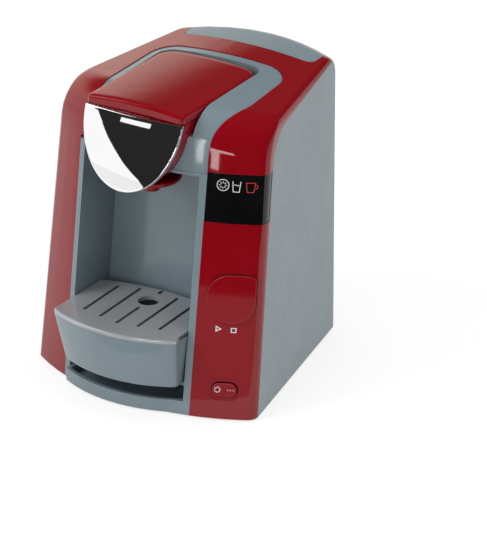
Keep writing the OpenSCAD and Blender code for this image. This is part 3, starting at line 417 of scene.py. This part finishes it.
def build_lid():
    outline = lid_outline()
    n = len(outline)

    def level(inset, height):
        """The outline moved inwards, at heights that a function of x and y gives."""
        return [(x - u * inset, y - v * inset, height(x - u * inset, y - v * inset))
                for x, y, u, v in outline]

    def inwards(inset, drop):
        """Rings on the crown, or drop under it, from the outline to the spine."""
        rim = level(inset, lambda x, y: 0)
        found = []
        for s in (0.10, 0.25, 0.45, 0.70, 1.0):
            ring = []
            for x, y, _ in rim:
                spine = min(max(y, LID_FRONT + LID_SPINE_END), LID_BACK - LID_SPINE_END)
                px, py = x + (HEAD_X - x) * s, y + (spine - y) * s
                ring.append((px, py, lid_top(px, py) - drop))
            found.append(ring)
        return found

    inner = list(reversed(inwards(LID_SKIN, LID_SKIN)))
    inner.append(level(LID_SKIN, lambda x, y: lid_top(x, y) - LID_SKIN))
    inner.append(level(LID_SKIN, lambda x, y: NOTCH_TOP))
    low = [level(LID_SKIN, lambda x, y: LID_LOW), level(LID_LOW_EDGE, lambda x, y: LID_LOW),
           level(0.0, lambda x, y: LID_LOW + LID_LOW_EDGE)]
    outer = [level(0.0, lambda x, y: NOTCH_TOP)]
    for inset, drop in roll(LID_EDGE, 0):
        outer.append(level(inset, lambda x, y, drop=drop: lid_top(x, y) + drop))
    outer += inwards(LID_EDGE, 0)
    rings = inner + low + outer
    first = len(inner) - 1
    last = first + len(low) + 1
    back = [j for j in range(n) if outline[j][3] == 1 and in_notch(outline[j][0])
            and in_notch(outline[(j + 1) % n][0])
            and abs(outline[(j + 1) % n][0] - outline[j][0]) < 2]
    # In a notch, one face joins the inner and the outer skin over its top, and its ends are closed.
    skip = {(a, j) for a in range(first, last) for j in back}
    faces = ring_faces(rings, skip)
    tops = flat_quads(0, n, first, last)
    faces += [tops[j] for j in back]
    for j in back:
        for k in (j, (j + 1) % n):
            if (k if k != j else (j - 1) % n) not in back:
                faces.append(tuple(a * n + k for a in range(first, last + 1)))
    lid = piece("lid_shell", [p for ring in rings for p in ring], faces, MAT["red"], "head_lid",
                "head_lid")
    sharpen(lid, 40)


def knuckle_r(a):
    """The knuckle's outer radius at an angle: round below the pin, and a straight web above it."""
    c, d = abs(math.cos(a)), math.sin(a)
    if d <= 0:
        return KNUCKLE_R
    return min(KNUCKLE_R / max(c, 1e-6), KNUCKLE_UP / d)


def build_knuckle():
    """The knuckle under the lid's back, round the pin."""
    angles = [math.radians(a) for a in sorted([*range(0, 360, 15), WEB_CORNER, 180 - WEB_CORNER])]
    ends = []
    for x in (HEAD_X - KNUCKLE_HALF, HEAD_X + KNUCKLE_HALF):
        for radius in (knuckle_r, lambda a: PIN_BORE):
            ends += [(x, PIN_Y + radius(a) * math.cos(a), PIN_Z + radius(a) * math.sin(a)) for a in angles]
    faces = []
    for first, second in ((0, 2), (2, 3), (3, 1), (1, 0)):
        faces += flat_quads(0, len(angles), first, second)
    knuckle = piece("lid_knuckle", ends, faces, MAT["red"], "head_lid")
    sharpen(knuckle)


# The shield: a shallow dome with a round bottom, cut level at its top. Its own plane leans: a runs to the
# right from its middle, b upwards from its top edge, and h out of the plane.
SHIELD_Y, SHIELD_Z = 29.0, 242.6
SHIELD_DROP, SHIELD_EDGE, SHIELD_BACK_EDGE = 63.5, 0.7, 0.3
DOME_R, DOME_TOP, DOME_B = 330.0, 6.495, -26.458
SHIELD_LEAN = math.radians(18)


def head_point(a, b, h):
    """A point of the shield's leaning plane in the space of part.scad."""
    c, d = math.sin(SHIELD_LEAN), math.cos(SHIELD_LEAN)
    return (HEAD_X + a, SHIELD_Y + c * b - d * h, SHIELD_Z + d * b + c * h)


def dome(a, b):
    return DOME_TOP - DOME_R + math.sqrt(DOME_R ** 2 - a * a - (b - DOME_B) ** 2)


def shield_outline(n_top=48, n_round=120):
    """The outline as (a, b, outward a, outward b): straight at its top, and half an ellipse below."""
    outline = [(HEAD_HALF, 0, 1, 1)]
    outline += [(a, 0, 0, 1) for a in steps(HEAD_HALF, -HEAD_HALF, n_top)[1:]]
    outline.append((-HEAD_HALF, 0, -1, 1))
    for k in range(1, n_round):
        t = math.pi * (1 + k / n_round)
        u, v = math.cos(t) / HEAD_HALF, math.sin(t) / SHIELD_DROP
        size = math.hypot(u, v)
        outline.append((HEAD_HALF * math.cos(t), SHIELD_DROP * math.sin(t), u / size, v / size))
    return outline


def build_shield():
    outline = shield_outline()

    def level(inset, height):
        """The outline moved inwards, at heights that a function of a and b gives, with a level top."""
        ring = []
        for a, b, u, v in outline:
            a, b = a - u * inset, b - v * inset
            h = height(a, b)
            if v == 1:
                b -= math.tan(SHIELD_LEAN) * h
            ring.append((a, b, h))
        return ring

    rings = [level(SHIELD_BACK_EDGE, lambda a, b: 0), level(0, lambda a, b: SHIELD_BACK_EDGE)]
    for inset, drop in roll(SHIELD_EDGE, 0):
        rings.append(level(inset, lambda a, b, drop=drop: dome(a, b) + drop))
    rim = rings[-1]
    for s in (0.03, 0.08, 0.15, 0.24, 0.34, 0.45, 0.56, 0.67, 0.78, 0.89, 1.0):
        ring = [(a * (1 - s), b + (DOME_B - b) * s) for a, b, _ in rim]
        rings.append([(a, b, dome(a, b)) for a, b in ring])
    n = len(outline)
    faces = ring_faces(rings) + [tuple(range(n))]
    shield = piece("shield_plate", [head_point(*p) for ring in rings for p in ring], faces, MAT["chrome"],
                   "housing", "chrome_shield")
    sharpen(shield, 50)


# Printed signs, as thin plates on the leaning and bowed front. A sign's strokes are (path, width, closed),
# and its sink is how far its ground lies behind the front, below 0 where it stands out.
BOW_R, LEAN = 200.0, math.tan(math.radians(8.1))
PRINT_T = 0.06
WINDOW_SINK, RING_SINK, DOTS_SINK = 0.4, -0.95, -0.74


def front_point(x, z, sink, proud):
    """The point at x and z that stands proud of a surface that lies sink behind the front."""
    r = BOW_R - sink
    y = LEAN * z + BOW_R - math.sqrt(r * r - x * x)
    out = Vector((x / r, -1, LEAN)).normalized()
    return Vector((x, y, z)) + out * proud


def stroke(path, width, closed):
    """A ribbon of that width along a path: a list of left and right points."""
    pairs = []
    n = len(path)
    for k, (x, z) in enumerate(path):
        before = path[(k - 1) % n] if closed or k else path[k]
        after = path[(k + 1) % n] if closed or k < n - 1 else path[k]
        d1 = Vector((x - before[0], z - before[1]))
        d2 = Vector((after[0] - x, after[1] - z))
        d1 = d1.normalized() if d1.length else d2.normalized()
        d2 = d2.normalized() if d2.length else d1
        side = Vector((-(d1 + d2).y, (d1 + d2).x)).normalized()
        reach = width / 2 / max(side.dot(Vector((-d1.y, d1.x))), 0.5)
        pairs.append((Vector((x, z)) + side * reach, Vector((x, z)) - side * reach))
    return pairs


def circle(r, n=40, cx=0.0, cy=0.0):
    return [(cx + r * math.cos(math.tau * k / n), cy + r * math.sin(math.tau * k / n)) for k in range(n)]


def printed(name, body, place, sink, strokes, material="white_mark"):
    """A sign of strokes round a place on the front."""
    points, faces = [], []
    for path, width, closed in strokes:
        pairs = stroke(path, width, closed)
        start, n = len(points), len(pairs)
        for pair in pairs:
            for proud in (-PRINT_T, PRINT_T):
                for p in pair:
                    points.append(front_point(place[0] + p.x, place[1] + p.y, sink, proud))
        for k in range(n if closed else n - 1):
            a, b = start + 4 * k, start + 4 * ((k + 1) % n)
            faces += [(a, b, b + 1, a + 1), (a + 2, a + 3, b + 3, b + 2), (a, a + 2, b + 2, b),
                      (a + 1, b + 1, b + 3, a + 3)]
        if not closed:
            for a in (start, start + 4 * (n - 1)):
                faces.append((a, a + 1, a + 3, a + 2))
    sign = piece(name, points, faces, MAT[material], body)
    sharpen(sign)


def build_signs():
    rays = [([(r * math.sin(a), r * math.cos(a)) for r in (1.5, 3.2)], 0.45, False)
            for a in (math.tau * k / 8 for k in range(8))]
    printed("sign_ring", "housing", (62.9, 194.7), WINDOW_SINK, [(circle(4.6), 0.55, True), *rays])
    glass = [([(-3.0, 4.4), (-2.3, -4.2), (2.3, -4.2), (3.0, 4.4)], 0.6, False),
             ([(-1.9, 1.2), (-0.6, 1.7), (0.6, 0.9), (1.9, 1.4)], 0.5, False)]
    printed("sign_glass", "housing", (73.2, 194.0), WINDOW_SINK, glass)
    cup = [([(-4.3, 3.8), (-3.3, -3.9), (1.5, -3.9), (2.5, 3.8)], 0.55, True),
           ([(2.4, 2.3), (4.0, 2.1), (4.2, 0.5), (3.1, -1.0), (1.9, -1.1)], 0.5, False)]
    printed("sign_cup", "housing", (84.6, 194.0), WINDOW_SINK, cup, "red_mark")
    printed("mark_ring", "power_rocker", (71.14, 25.0), RING_SINK, [(circle(2.05), 0.55, True)])
    dots = [(circle(0.24, 16, x), 0.46, True) for x in (0.0, 2.1, 4.2)]
    printed("mark_dots", "power_rocker", (78.78, 25.0), DOTS_SINK, dots)
    triangle = [([(-1.5, 2.0), (2.0, 0.0), (-1.5, -2.0)], 0.8, True)]
    printed("mark_go", "housing", (67.7, 75.6), 0.0, triangle)
    square = [([(-1.7, 1.7), (1.7, 1.7), (1.7, -1.7), (-1.7, -1.7)], 0.8, True)]
    printed("mark_halt", "housing", (79.5, 75.2), 0.0, square)


# The tray and its grate, with the rounded corners and edges that the solids leave out.
TRAY_X, TRAY_BACK, BULGE, BACK_BULGE = -13.05, 69.016, 14.5, 9.0
TRAY_LOW, TRAY_TOP, TRAY_SKIN, TRAY_ROLL = 24.0, 67.5, 2.2, 1.6
# Half the width and the front's place at the bottom, and how far they move out up to the top.
TRAY_HALF, FRONT_FLARE, SIDE_FLARE = 53.5, 5.0, 3.15
TRAY_FRONT, FRONT_REACH = 2.4, 9.0
# The straight side starts this far behind the front's corner.
SIDE_START = 18
# The rim's front corners, the sharper ones on its outside, and all back corners.
OUTER_CORNER, INNER_CORNER, BACK_CORNER = 5.5, 9.5, 7.0
INNER_FROM = 3.6
GRATE_TOP, GRATE_ROLL, GRATE_BEVEL = 70.9, 1.7, 0.3
TRAY_FILLET, CHAMFER = 1.2, 0.2
# A rib under the grate keeps it in place: it lies between these insets and reaches down into the tray.
RIB_OUTER, RIB_INNER, RIB_DEPTH = 4.0, 6.0, 4.0
# Slots as (x, first y, last y).
SLOT_HALF, SLOTS = 1.5, ((-36, 6, 56), (-18, 2, 61), (0, -2, 31), (18, 2, 61), (36, 6, 56), (0, 62, 66))
HOLE_Y, HOLE_R = 45.5, 8.8
FINE_ANGLE = math.radians(50)


def bow(half, sag, far_y, way, n):
    """Points of an arc from -half to half that bulges by sag up to far_y; way is -1 at the front."""
    r = (half * half + sag * sag) / (2 * sag)
    return [(x, far_y - way * (r - math.sqrt(r * r - x * x)))
            for x in (-half + 2 * half * k / n for k in range(n + 1))]


def soft_corner(a, corner, b, r, n=9):
    """Points of a rounded corner of radius r between the directions to a and b."""
    corner = Vector(corner)
    u, v = (Vector(a) - corner).normalized(), (Vector(b) - corner).normalized()
    half = math.acos(u.dot(v)) / 2
    middle = corner + (u + v).normalized() * r / math.sin(half)
    start, end = (corner + w * r / math.tan(half) - middle for w in (u, v))
    turn = start.angle_signed(end)
    found = []
    for k in range(n + 1):
        t = -turn * k / n
        c, d = math.cos(t), math.sin(t)
        found.append((middle.x + c * start.x - d * start.y, middle.y + d * start.x + c * start.y))
    return found


def tray_outline(half, front, back_half, side_half, r):
    """The tray's outline with rounded corners, as (x, y, outward x, outward y)."""
    near = bow(half, BULGE, front - BULGE, -1, 40)
    far_side = bow(back_half, BACK_BULGE, TRAY_BACK, 1, 30)[::-1]
    right = (side_half, front + SIDE_START)
    left = (-side_half, front + SIDE_START)
    middle = [p for p in near if abs(p[0]) < half - 0.8 * r]
    back_middle = [p for p in far_side if abs(p[0]) < back_half - 0.8 * BACK_CORNER]
    loop = (soft_corner(left, near[0], middle[0], r) + middle + soft_corner(middle[-1], near[-1], right, r)
            + [right] + soft_corner(right, far_side[0], back_middle[0], BACK_CORNER) + back_middle
            + soft_corner(back_middle[-1], far_side[-1], left, BACK_CORNER) + [left])
    found = []
    for k, (x, y) in enumerate(loop):
        along = Vector(loop[(k + 1) % len(loop)]) - Vector(loop[k - 1])
        along.normalize()
        found.append((x, y, along.y, -along.x))
    return found


def tray_level(inset, z):
    """A ring of the tray at that height, moved inwards: it narrows and draws back towards the bottom."""
    t = min((z - TRAY_LOW) / (TRAY_TOP - TRAY_LOW), 1.0)
    side_half = TRAY_HALF + SIDE_FLARE * t
    outline = tray_outline(TRAY_HALF + FRONT_FLARE * t, TRAY_FRONT - FRONT_REACH * t, side_half, side_half,
                           OUTER_CORNER if inset < INNER_FROM else INNER_CORNER)
    return [(TRAY_X + x - u * inset, y - v * inset, z) for x, y, u, v in outline]


def closed_loft(name, levels, material, body, replaced):
    """A closed solid of the tray's outline through levels of (inset, height)."""
    rings = [tray_level(inset, z) for inset, z in levels]
    n = len(rings[0])
    last = (len(rings) - 1) * n
    faces = ring_faces(rings) + [tuple(range(n)), tuple(last + j for j in range(n))]
    return piece(name, [p for ring in rings for p in ring], faces, material, body, replaced)


def cut(thing, loops, low, high):
    """Cuts upright holes with the given outlines through a piece."""
    points, faces = [], []
    for loop in loops:
        start, n = len(points), len(loop)
        points += [(x, y, z) for z in (low, high) for x, y in loop]
        faces += flat_quads(start, n, 0, 1)
        faces += [tuple(range(start, start + n))[::-1], tuple(range(start + n, start + 2 * n))]
    mesh = bpy.data.meshes.new("cutter")
    mesh.from_pydata([row(p) for p in points], [], faces)
    cutter = bpy.data.objects.new("cutter", mesh)
    bpy.context.scene.collection.objects.link(cutter)
    change = thing.modifiers.new("cut", "BOOLEAN")
    change.operation = "DIFFERENCE"
    change.solver = "EXACT"
    change.object = cutter
    result = bpy.data.meshes.new_from_object(thing.evaluated_get(bpy.context.evaluated_depsgraph_get()))
    thing.modifiers.clear()
    thing.data = result
    bpy.data.objects.remove(cutter)
    for polygon in result.polygons:
        polygon.use_smooth = True


def stadium(x, y0, y1, r, n=10):
    """The outline of a slot with round ends."""
    bends = [(y1, math.pi * k / n) for k in range(n + 1)]
    bends += [(y0, math.pi * (1 + k / n)) for k in range(n + 1)]
    return [(x + r * math.cos(a), y + r * math.sin(a)) for y, a in bends]


def build_tray():
    floor = TRAY_LOW + TRAY_SKIN
    levels = [(TRAY_SKIN + TRAY_FILLET, floor), (TRAY_SKIN, floor + TRAY_FILLET),
              (TRAY_SKIN, TRAY_TOP - CHAMFER), (TRAY_SKIN - CHAMFER, TRAY_TOP),
              (CHAMFER, TRAY_TOP), (0, TRAY_TOP - CHAMFER)]
    levels += [(inset, 2 * TRAY_LOW - z) for inset, z in roll(TRAY_ROLL, TRAY_LOW)]
    tray = closed_loft("tray_bin", levels, MAT["frame"], "drip_tray", "drip_tray")
    sharpen(tray, 40)


def build_grate():
    levels = [(RIB_INNER, TRAY_TOP), (RIB_INNER, TRAY_TOP - RIB_DEPTH),
              (RIB_OUTER, TRAY_TOP - RIB_DEPTH), (RIB_OUTER, TRAY_TOP),
              (CHAMFER, TRAY_TOP), (0, TRAY_TOP + CHAMFER)]
    levels += roll(GRATE_ROLL, GRATE_TOP)
    grate = closed_loft("grate_plate", levels, MAT["grate"], "drip_grate", "drip_grate")
    loops = [stadium(TRAY_X + x, y0, y1, SLOT_HALF) for x, y0, y1 in SLOTS]
    loops.append(circle(HOLE_R, 64, TRAY_X, HOLE_Y))
    cut(grate, loops, TRAY_TOP - 1, GRATE_TOP + 1)
    round_edges(grate, GRATE_BEVEL, FINE_ANGLE, 2)


def build_spring():
    """The button's spring against the circuit board, as its own copy of the CAD coil."""
    spring = bpy.data.objects.new("spring_coil", NODES["button_spring"].data.copy())
    bpy.context.scene.collection.objects.link(spring)
    sharpen(spring)
    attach(spring, "housing")
    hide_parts("button_spring")
    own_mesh(spring)


build_lid()
build_knuckle()
build_shield()
build_signs()
build_tray()
build_grate()
build_spring()

# ---------------------------------------------------------------- stage and light

# The camera's aim and bearings come from the body's straight edges. The stage's sizes are in metres.
LOOK = Vector((82.788901, -50.25, 121.5)) * MM
CAMERA_AZ, CAMERA_EL = math.radians(31.595), math.radians(25.335)
CAMERA_DISTANCE = 4.0
FOCAL_PX, FRAME_HEIGHT_PX, SENSOR_MM = 5000, 536, 36

MIDDLE = (0, 0, 0.12)
FAR = 20
PLAIN, WARM = (1, 1, 1), (1.0, 0.93, 0.80)
AMBIENT, BACKDROP = 0.52, 1.0
FLOOR_SEEN, FLOOR_GLOW, FLOOR_PLAIN = 0.30, 0.72, 0.82
WALL_STEP, WALL_BOTTOM, FAR_WALL, CEILING = 5, 0.001, 1.8, 2.5
DARK_BOTTOM, DARK_TOP, LIGHTS_Y = 0.014, 2.0, -0.56
TABLE_SPLIT, TABLE_BACK = -0.13, -0.16


def make_camera():
    data = bpy.data.cameras.new("camera")
    data.sensor_width = SENSOR_MM
    data.lens = FOCAL_PX / FRAME_HEIGHT_PX * SENSOR_MM
    data.clip_start, data.clip_end = 0.1, 100
    camera = bpy.data.objects.new("camera", data)
    back = Vector((math.sin(CAMERA_AZ) * math.cos(CAMERA_EL), -math.cos(CAMERA_AZ) * math.cos(CAMERA_EL),
                   math.sin(CAMERA_EL)))
    camera.location = LOOK + back * CAMERA_DISTANCE
    camera.rotation_mode = "QUATERNION"
    camera.rotation_quaternion = (-back).to_track_quat("-Z", "Y")
    bpy.context.scene.collection.objects.link(camera)
    bpy.context.scene.camera = camera


def stage_mesh(name, corners, material):
    mesh = bpy.data.meshes.new(name)
    mesh.from_pydata([Vector(c) for c in corners], [], [list(range(len(corners)))])
    mesh.materials.append(material)
    thing = bpy.data.objects.new(name, mesh)
    bpy.context.scene.collection.objects.link(thing)
    return thing


def plainly_seen(tree):
    """1 for the rays of the camera and for mirrored or refracted ones, and 0 for the rest."""
    path = tree.nodes.new("ShaderNodeLightPath")
    value = path.outputs["Is Camera Ray"]
    for other in ("Is Glossy Ray", "Is Transmission Ray"):
        node = tree.nodes.new("ShaderNodeMath")
        node.operation = "MAXIMUM"
        tree.links.new(value, node.inputs[0])
        tree.links.new(path.outputs[other], node.inputs[1])
        value = node.outputs[0]
    return value


def empty_tree(holder):
    """The cleared node tree of a material or a world."""
    holder.use_nodes = True
    holder.node_tree.nodes.clear()
    return holder.node_tree


def wire(tree, *links):
    for out, into in links:
        tree.links.new(out, into)


def grey(value):
    return (value, value, value, 1)


def floor_material():
    """A white floor that keeps a soft shadow: seen straight on, part of its white is its own light."""
    material = bpy.data.materials.new("white_floor")
    tree = empty_tree(material)
    seen = tree.nodes.new("ShaderNodeBsdfDiffuse")
    seen.inputs["Color"].default_value = grey(FLOOR_SEEN)
    glow = tree.nodes.new("ShaderNodeEmission")
    glow.inputs["Strength"].default_value = FLOOR_GLOW
    both = tree.nodes.new("ShaderNodeAddShader")
    plain = tree.nodes.new("ShaderNodeBsdfDiffuse")
    plain.inputs["Color"].default_value = grey(FLOOR_PLAIN)
    choice = tree.nodes.new("ShaderNodeMixShader")
    output = tree.nodes.new("ShaderNodeOutputMaterial")
    wire(tree, (seen.outputs[0], both.inputs[0]), (glow.outputs[0], both.inputs[1]),
         (plainly_seen(tree), choice.inputs[0]), (plain.outputs[0], choice.inputs[1]),
         (both.outputs[0], choice.inputs[2]), (choice.outputs[0], output.inputs[0]))
    return material


def card_material(name, low, high, start, end, color):
    """A glowing card: its strength goes from low to high between two heights."""
    material = bpy.data.materials.new(name)
    tree = empty_tree(material)
    glow = tree.nodes.new("ShaderNodeEmission")
    glow.inputs["Color"].default_value = (*color, 1)
    if low == high:
        glow.inputs["Strength"].default_value = low
    else:
        parts = tree.nodes.new("ShaderNodeSeparateXYZ")
        tree.links.new(tree.nodes.new("ShaderNodeTexCoord").outputs["Object"], parts.inputs[0])
        fade = tree.nodes.new("ShaderNodeMapRange")
        fade.interpolation_type = "SMOOTHSTEP"
        tree.links.new(parts.outputs["Z"], fade.inputs["Value"])
        for socket, value in (("From Min", start), ("From Max", end), ("To Min", low), ("To Max", high)):
            fade.inputs[socket].default_value = value
        tree.links.new(fade.outputs["Result"], glow.inputs["Strength"])
    output = tree.nodes.new("ShaderNodeOutputMaterial")
    tree.links.new(glow.outputs[0], output.inputs[0])
    return material


def card(name, corners, low, high=None, start=0, end=1, color=PLAIN):
    """A card that only mirror-like surfaces see."""
    high = low if high is None else high
    thing = stage_mesh(name, corners, card_material(name, low, high, start, end, color))
    thing.visible_camera = False
    thing.visible_diffuse = False
    thing.visible_shadow = False
    thing.visible_transmission = False
    thing.visible_volume_scatter = False


def front_card(name, y, outline, strength):
    """An upright card before the toy, with its outline as (x, z)."""
    card(name, [(x, y, z) for x, z in outline], strength)


def flat_card(name, x0, x1, y0, y1, z, strength):
    card(name, [(x0, y0, z), (x1, y0, z), (x1, y1, z), (x0, y1, z)], strength)


def wall(name, radius, az0, az1, low, high, start, end, top, color=PLAIN, bottom=WALL_BOTTOM):
    """A round wall of cards, with its bearings in degrees from the front towards the right. Its strength
    goes from low to high between the heights start and end."""
    count = max(2, round(abs(az1 - az0) / WALL_STEP))
    for k in range(count):
        a, b = (math.radians(az0 + (az1 - az0) * j / count) for j in (k, k + 1))
        (x0, y0), (x1, y1) = ((radius * math.sin(t), -radius * math.cos(t)) for t in (a, b))
        card(f"{name}_{k}", [(x0, y0, bottom), (x1, y1, bottom), (x1, y1, top), (x0, y0, top)],
             low, high, start, end, color)


def lamp(name, place, aim, size, power):
    data = bpy.data.lights.new(name, "AREA")
    data.shape = "RECTANGLE"
    data.size, data.size_y = size
    data.energy = power
    thing = bpy.data.objects.new(name, data)
    thing.location = place
    thing.rotation_mode = "QUATERNION"
    thing.rotation_quaternion = (Vector(aim) - Vector(place)).to_track_quat("-Z", "Y")
    thing.visible_glossy = False
    bpy.context.scene.collection.objects.link(thing)


def make_world():
    """A soft white surround, and a plain white one where it is seen or mirrored."""
    world = bpy.data.worlds.new("studio")
    bpy.context.scene.world = world
    tree = empty_tree(world)
    ambient, white = (tree.nodes.new("ShaderNodeBackground") for _ in range(2))
    for node, strength in ((ambient, AMBIENT), (white, BACKDROP)):
        node.inputs["Color"].default_value = grey(1)
        node.inputs["Strength"].default_value = strength
    choice = tree.nodes.new("ShaderNodeMixShader")
    output = tree.nodes.new("ShaderNodeOutputWorld")
    wire(tree, (plainly_seen(tree), choice.inputs[0]), (ambient.outputs[0], choice.inputs[1]),
         (white.outputs[0], choice.inputs[2]), (choice.outputs[0], output.inputs[0]))


def light_up():
    """Lamps for the matt light, which mirrors don't show."""
    lamp("key_lamp", (-1.1, -1.3, 1.7), MIDDLE, (1.1, 1.1), 24)
    lamp("front_lamp", (0.3, -2.2, 0.7), MIDDLE, (1.6, 1.0), 11)
    lamp("side_lamp", (1.9, -0.5, 1.1), MIDDLE, (1.2, 1.2), 8)
    lamp("top_lamp", (0.1, 0.5, 2.0), MIDDLE, (1.4, 1.4), 15)


def put_up_cards():
    """The studio that the glossy surfaces mirror."""
    # The dark wall in the shield, with the slanting white edge on its left and a light bar.
    slant = [(-0.56, 0.415), (-0.483, 0.357), (-0.417, 0.307), (-0.355, 0.267), (-0.306, 0.236),
             (-0.263, 0.214), (-0.228, 0.198), (-0.190, 0.170), (-0.150, 0.080), (-0.130, DARK_BOTTOM)]
    rest = [(0.17, DARK_BOTTOM), (0.17, DARK_TOP), (-0.56, DARK_TOP)]
    front_card("dark_card", -0.61, slant + rest, 0.02)
    bar = [(-0.372, 0.374), (-0.222, 0.379), (-0.222, 0.397), (-0.372, 0.391)]
    front_card("bar_card", -0.605, bar, 1.0)
    # A window and a strip beside it, in the red shoulder and the grey surround.
    pane = [(0.080, 0.140), (0.116, 0.134), (0.128, 0.226), (0.200, 0.230), (0.200, 0.272), (0.080, 0.282)]
    front_card("window_card", LIGHTS_Y, pane, 8)
    strip = [(-0.010, 0.15), (0.018, 0.15), (0.050, 0.44), (0.026, 0.44)]
    front_card("frame_card", LIGHTS_Y, strip, 10)
    # Walls round the toy, light at the bottom and dark above, and dark at the front right.
    wall("front_wall", 0.633, 15, 80, 0.02, 0.02, 0, 1, DARK_TOP, bottom=DARK_BOTTOM)
    wall("right_wall", FAR_WALL, 80, 90, 0.9, 0.06, 0.30, 0.60, CEILING)
    wall("back_wall", FAR_WALL, 90, 190, 0.9, 0.06, 0.45, 0.85, CEILING)
    wall("left_back_wall", FAR_WALL, 190, 265, 1.10, 0.09, 0.72, 1.08, CEILING, WARM)
    # The table before the toy, white on the left, a soft box at the upper left and a dark ceiling.
    flat_card("table", TABLE_SPLIT, 0.80, -0.80, TABLE_BACK, 0.0015, 0.50)
    soft_box = [(-1.55, -1.0, 1.45), (-0.95, -1.5, 1.45), (-0.75, -1.25, 1.95), (-1.35, -0.75, 1.95)]
    card("key_card", soft_box, 3.5)
    flat_card("white_table", -1.6, TABLE_SPLIT, -1.5, TABLE_BACK, 0.001, 1.0)
    flat_card("ceiling", -2, 2, -2, 2, CEILING, 0.06)


make_camera()
make_world()
stage_mesh("floor", [(-FAR, -FAR, 0), (FAR, -FAR, 0), (FAR, FAR, 0), (-FAR, FAR, 0)], floor_material())
light_up()
put_up_cards()
bpy.context.scene.view_settings.view_transform = "Standard"
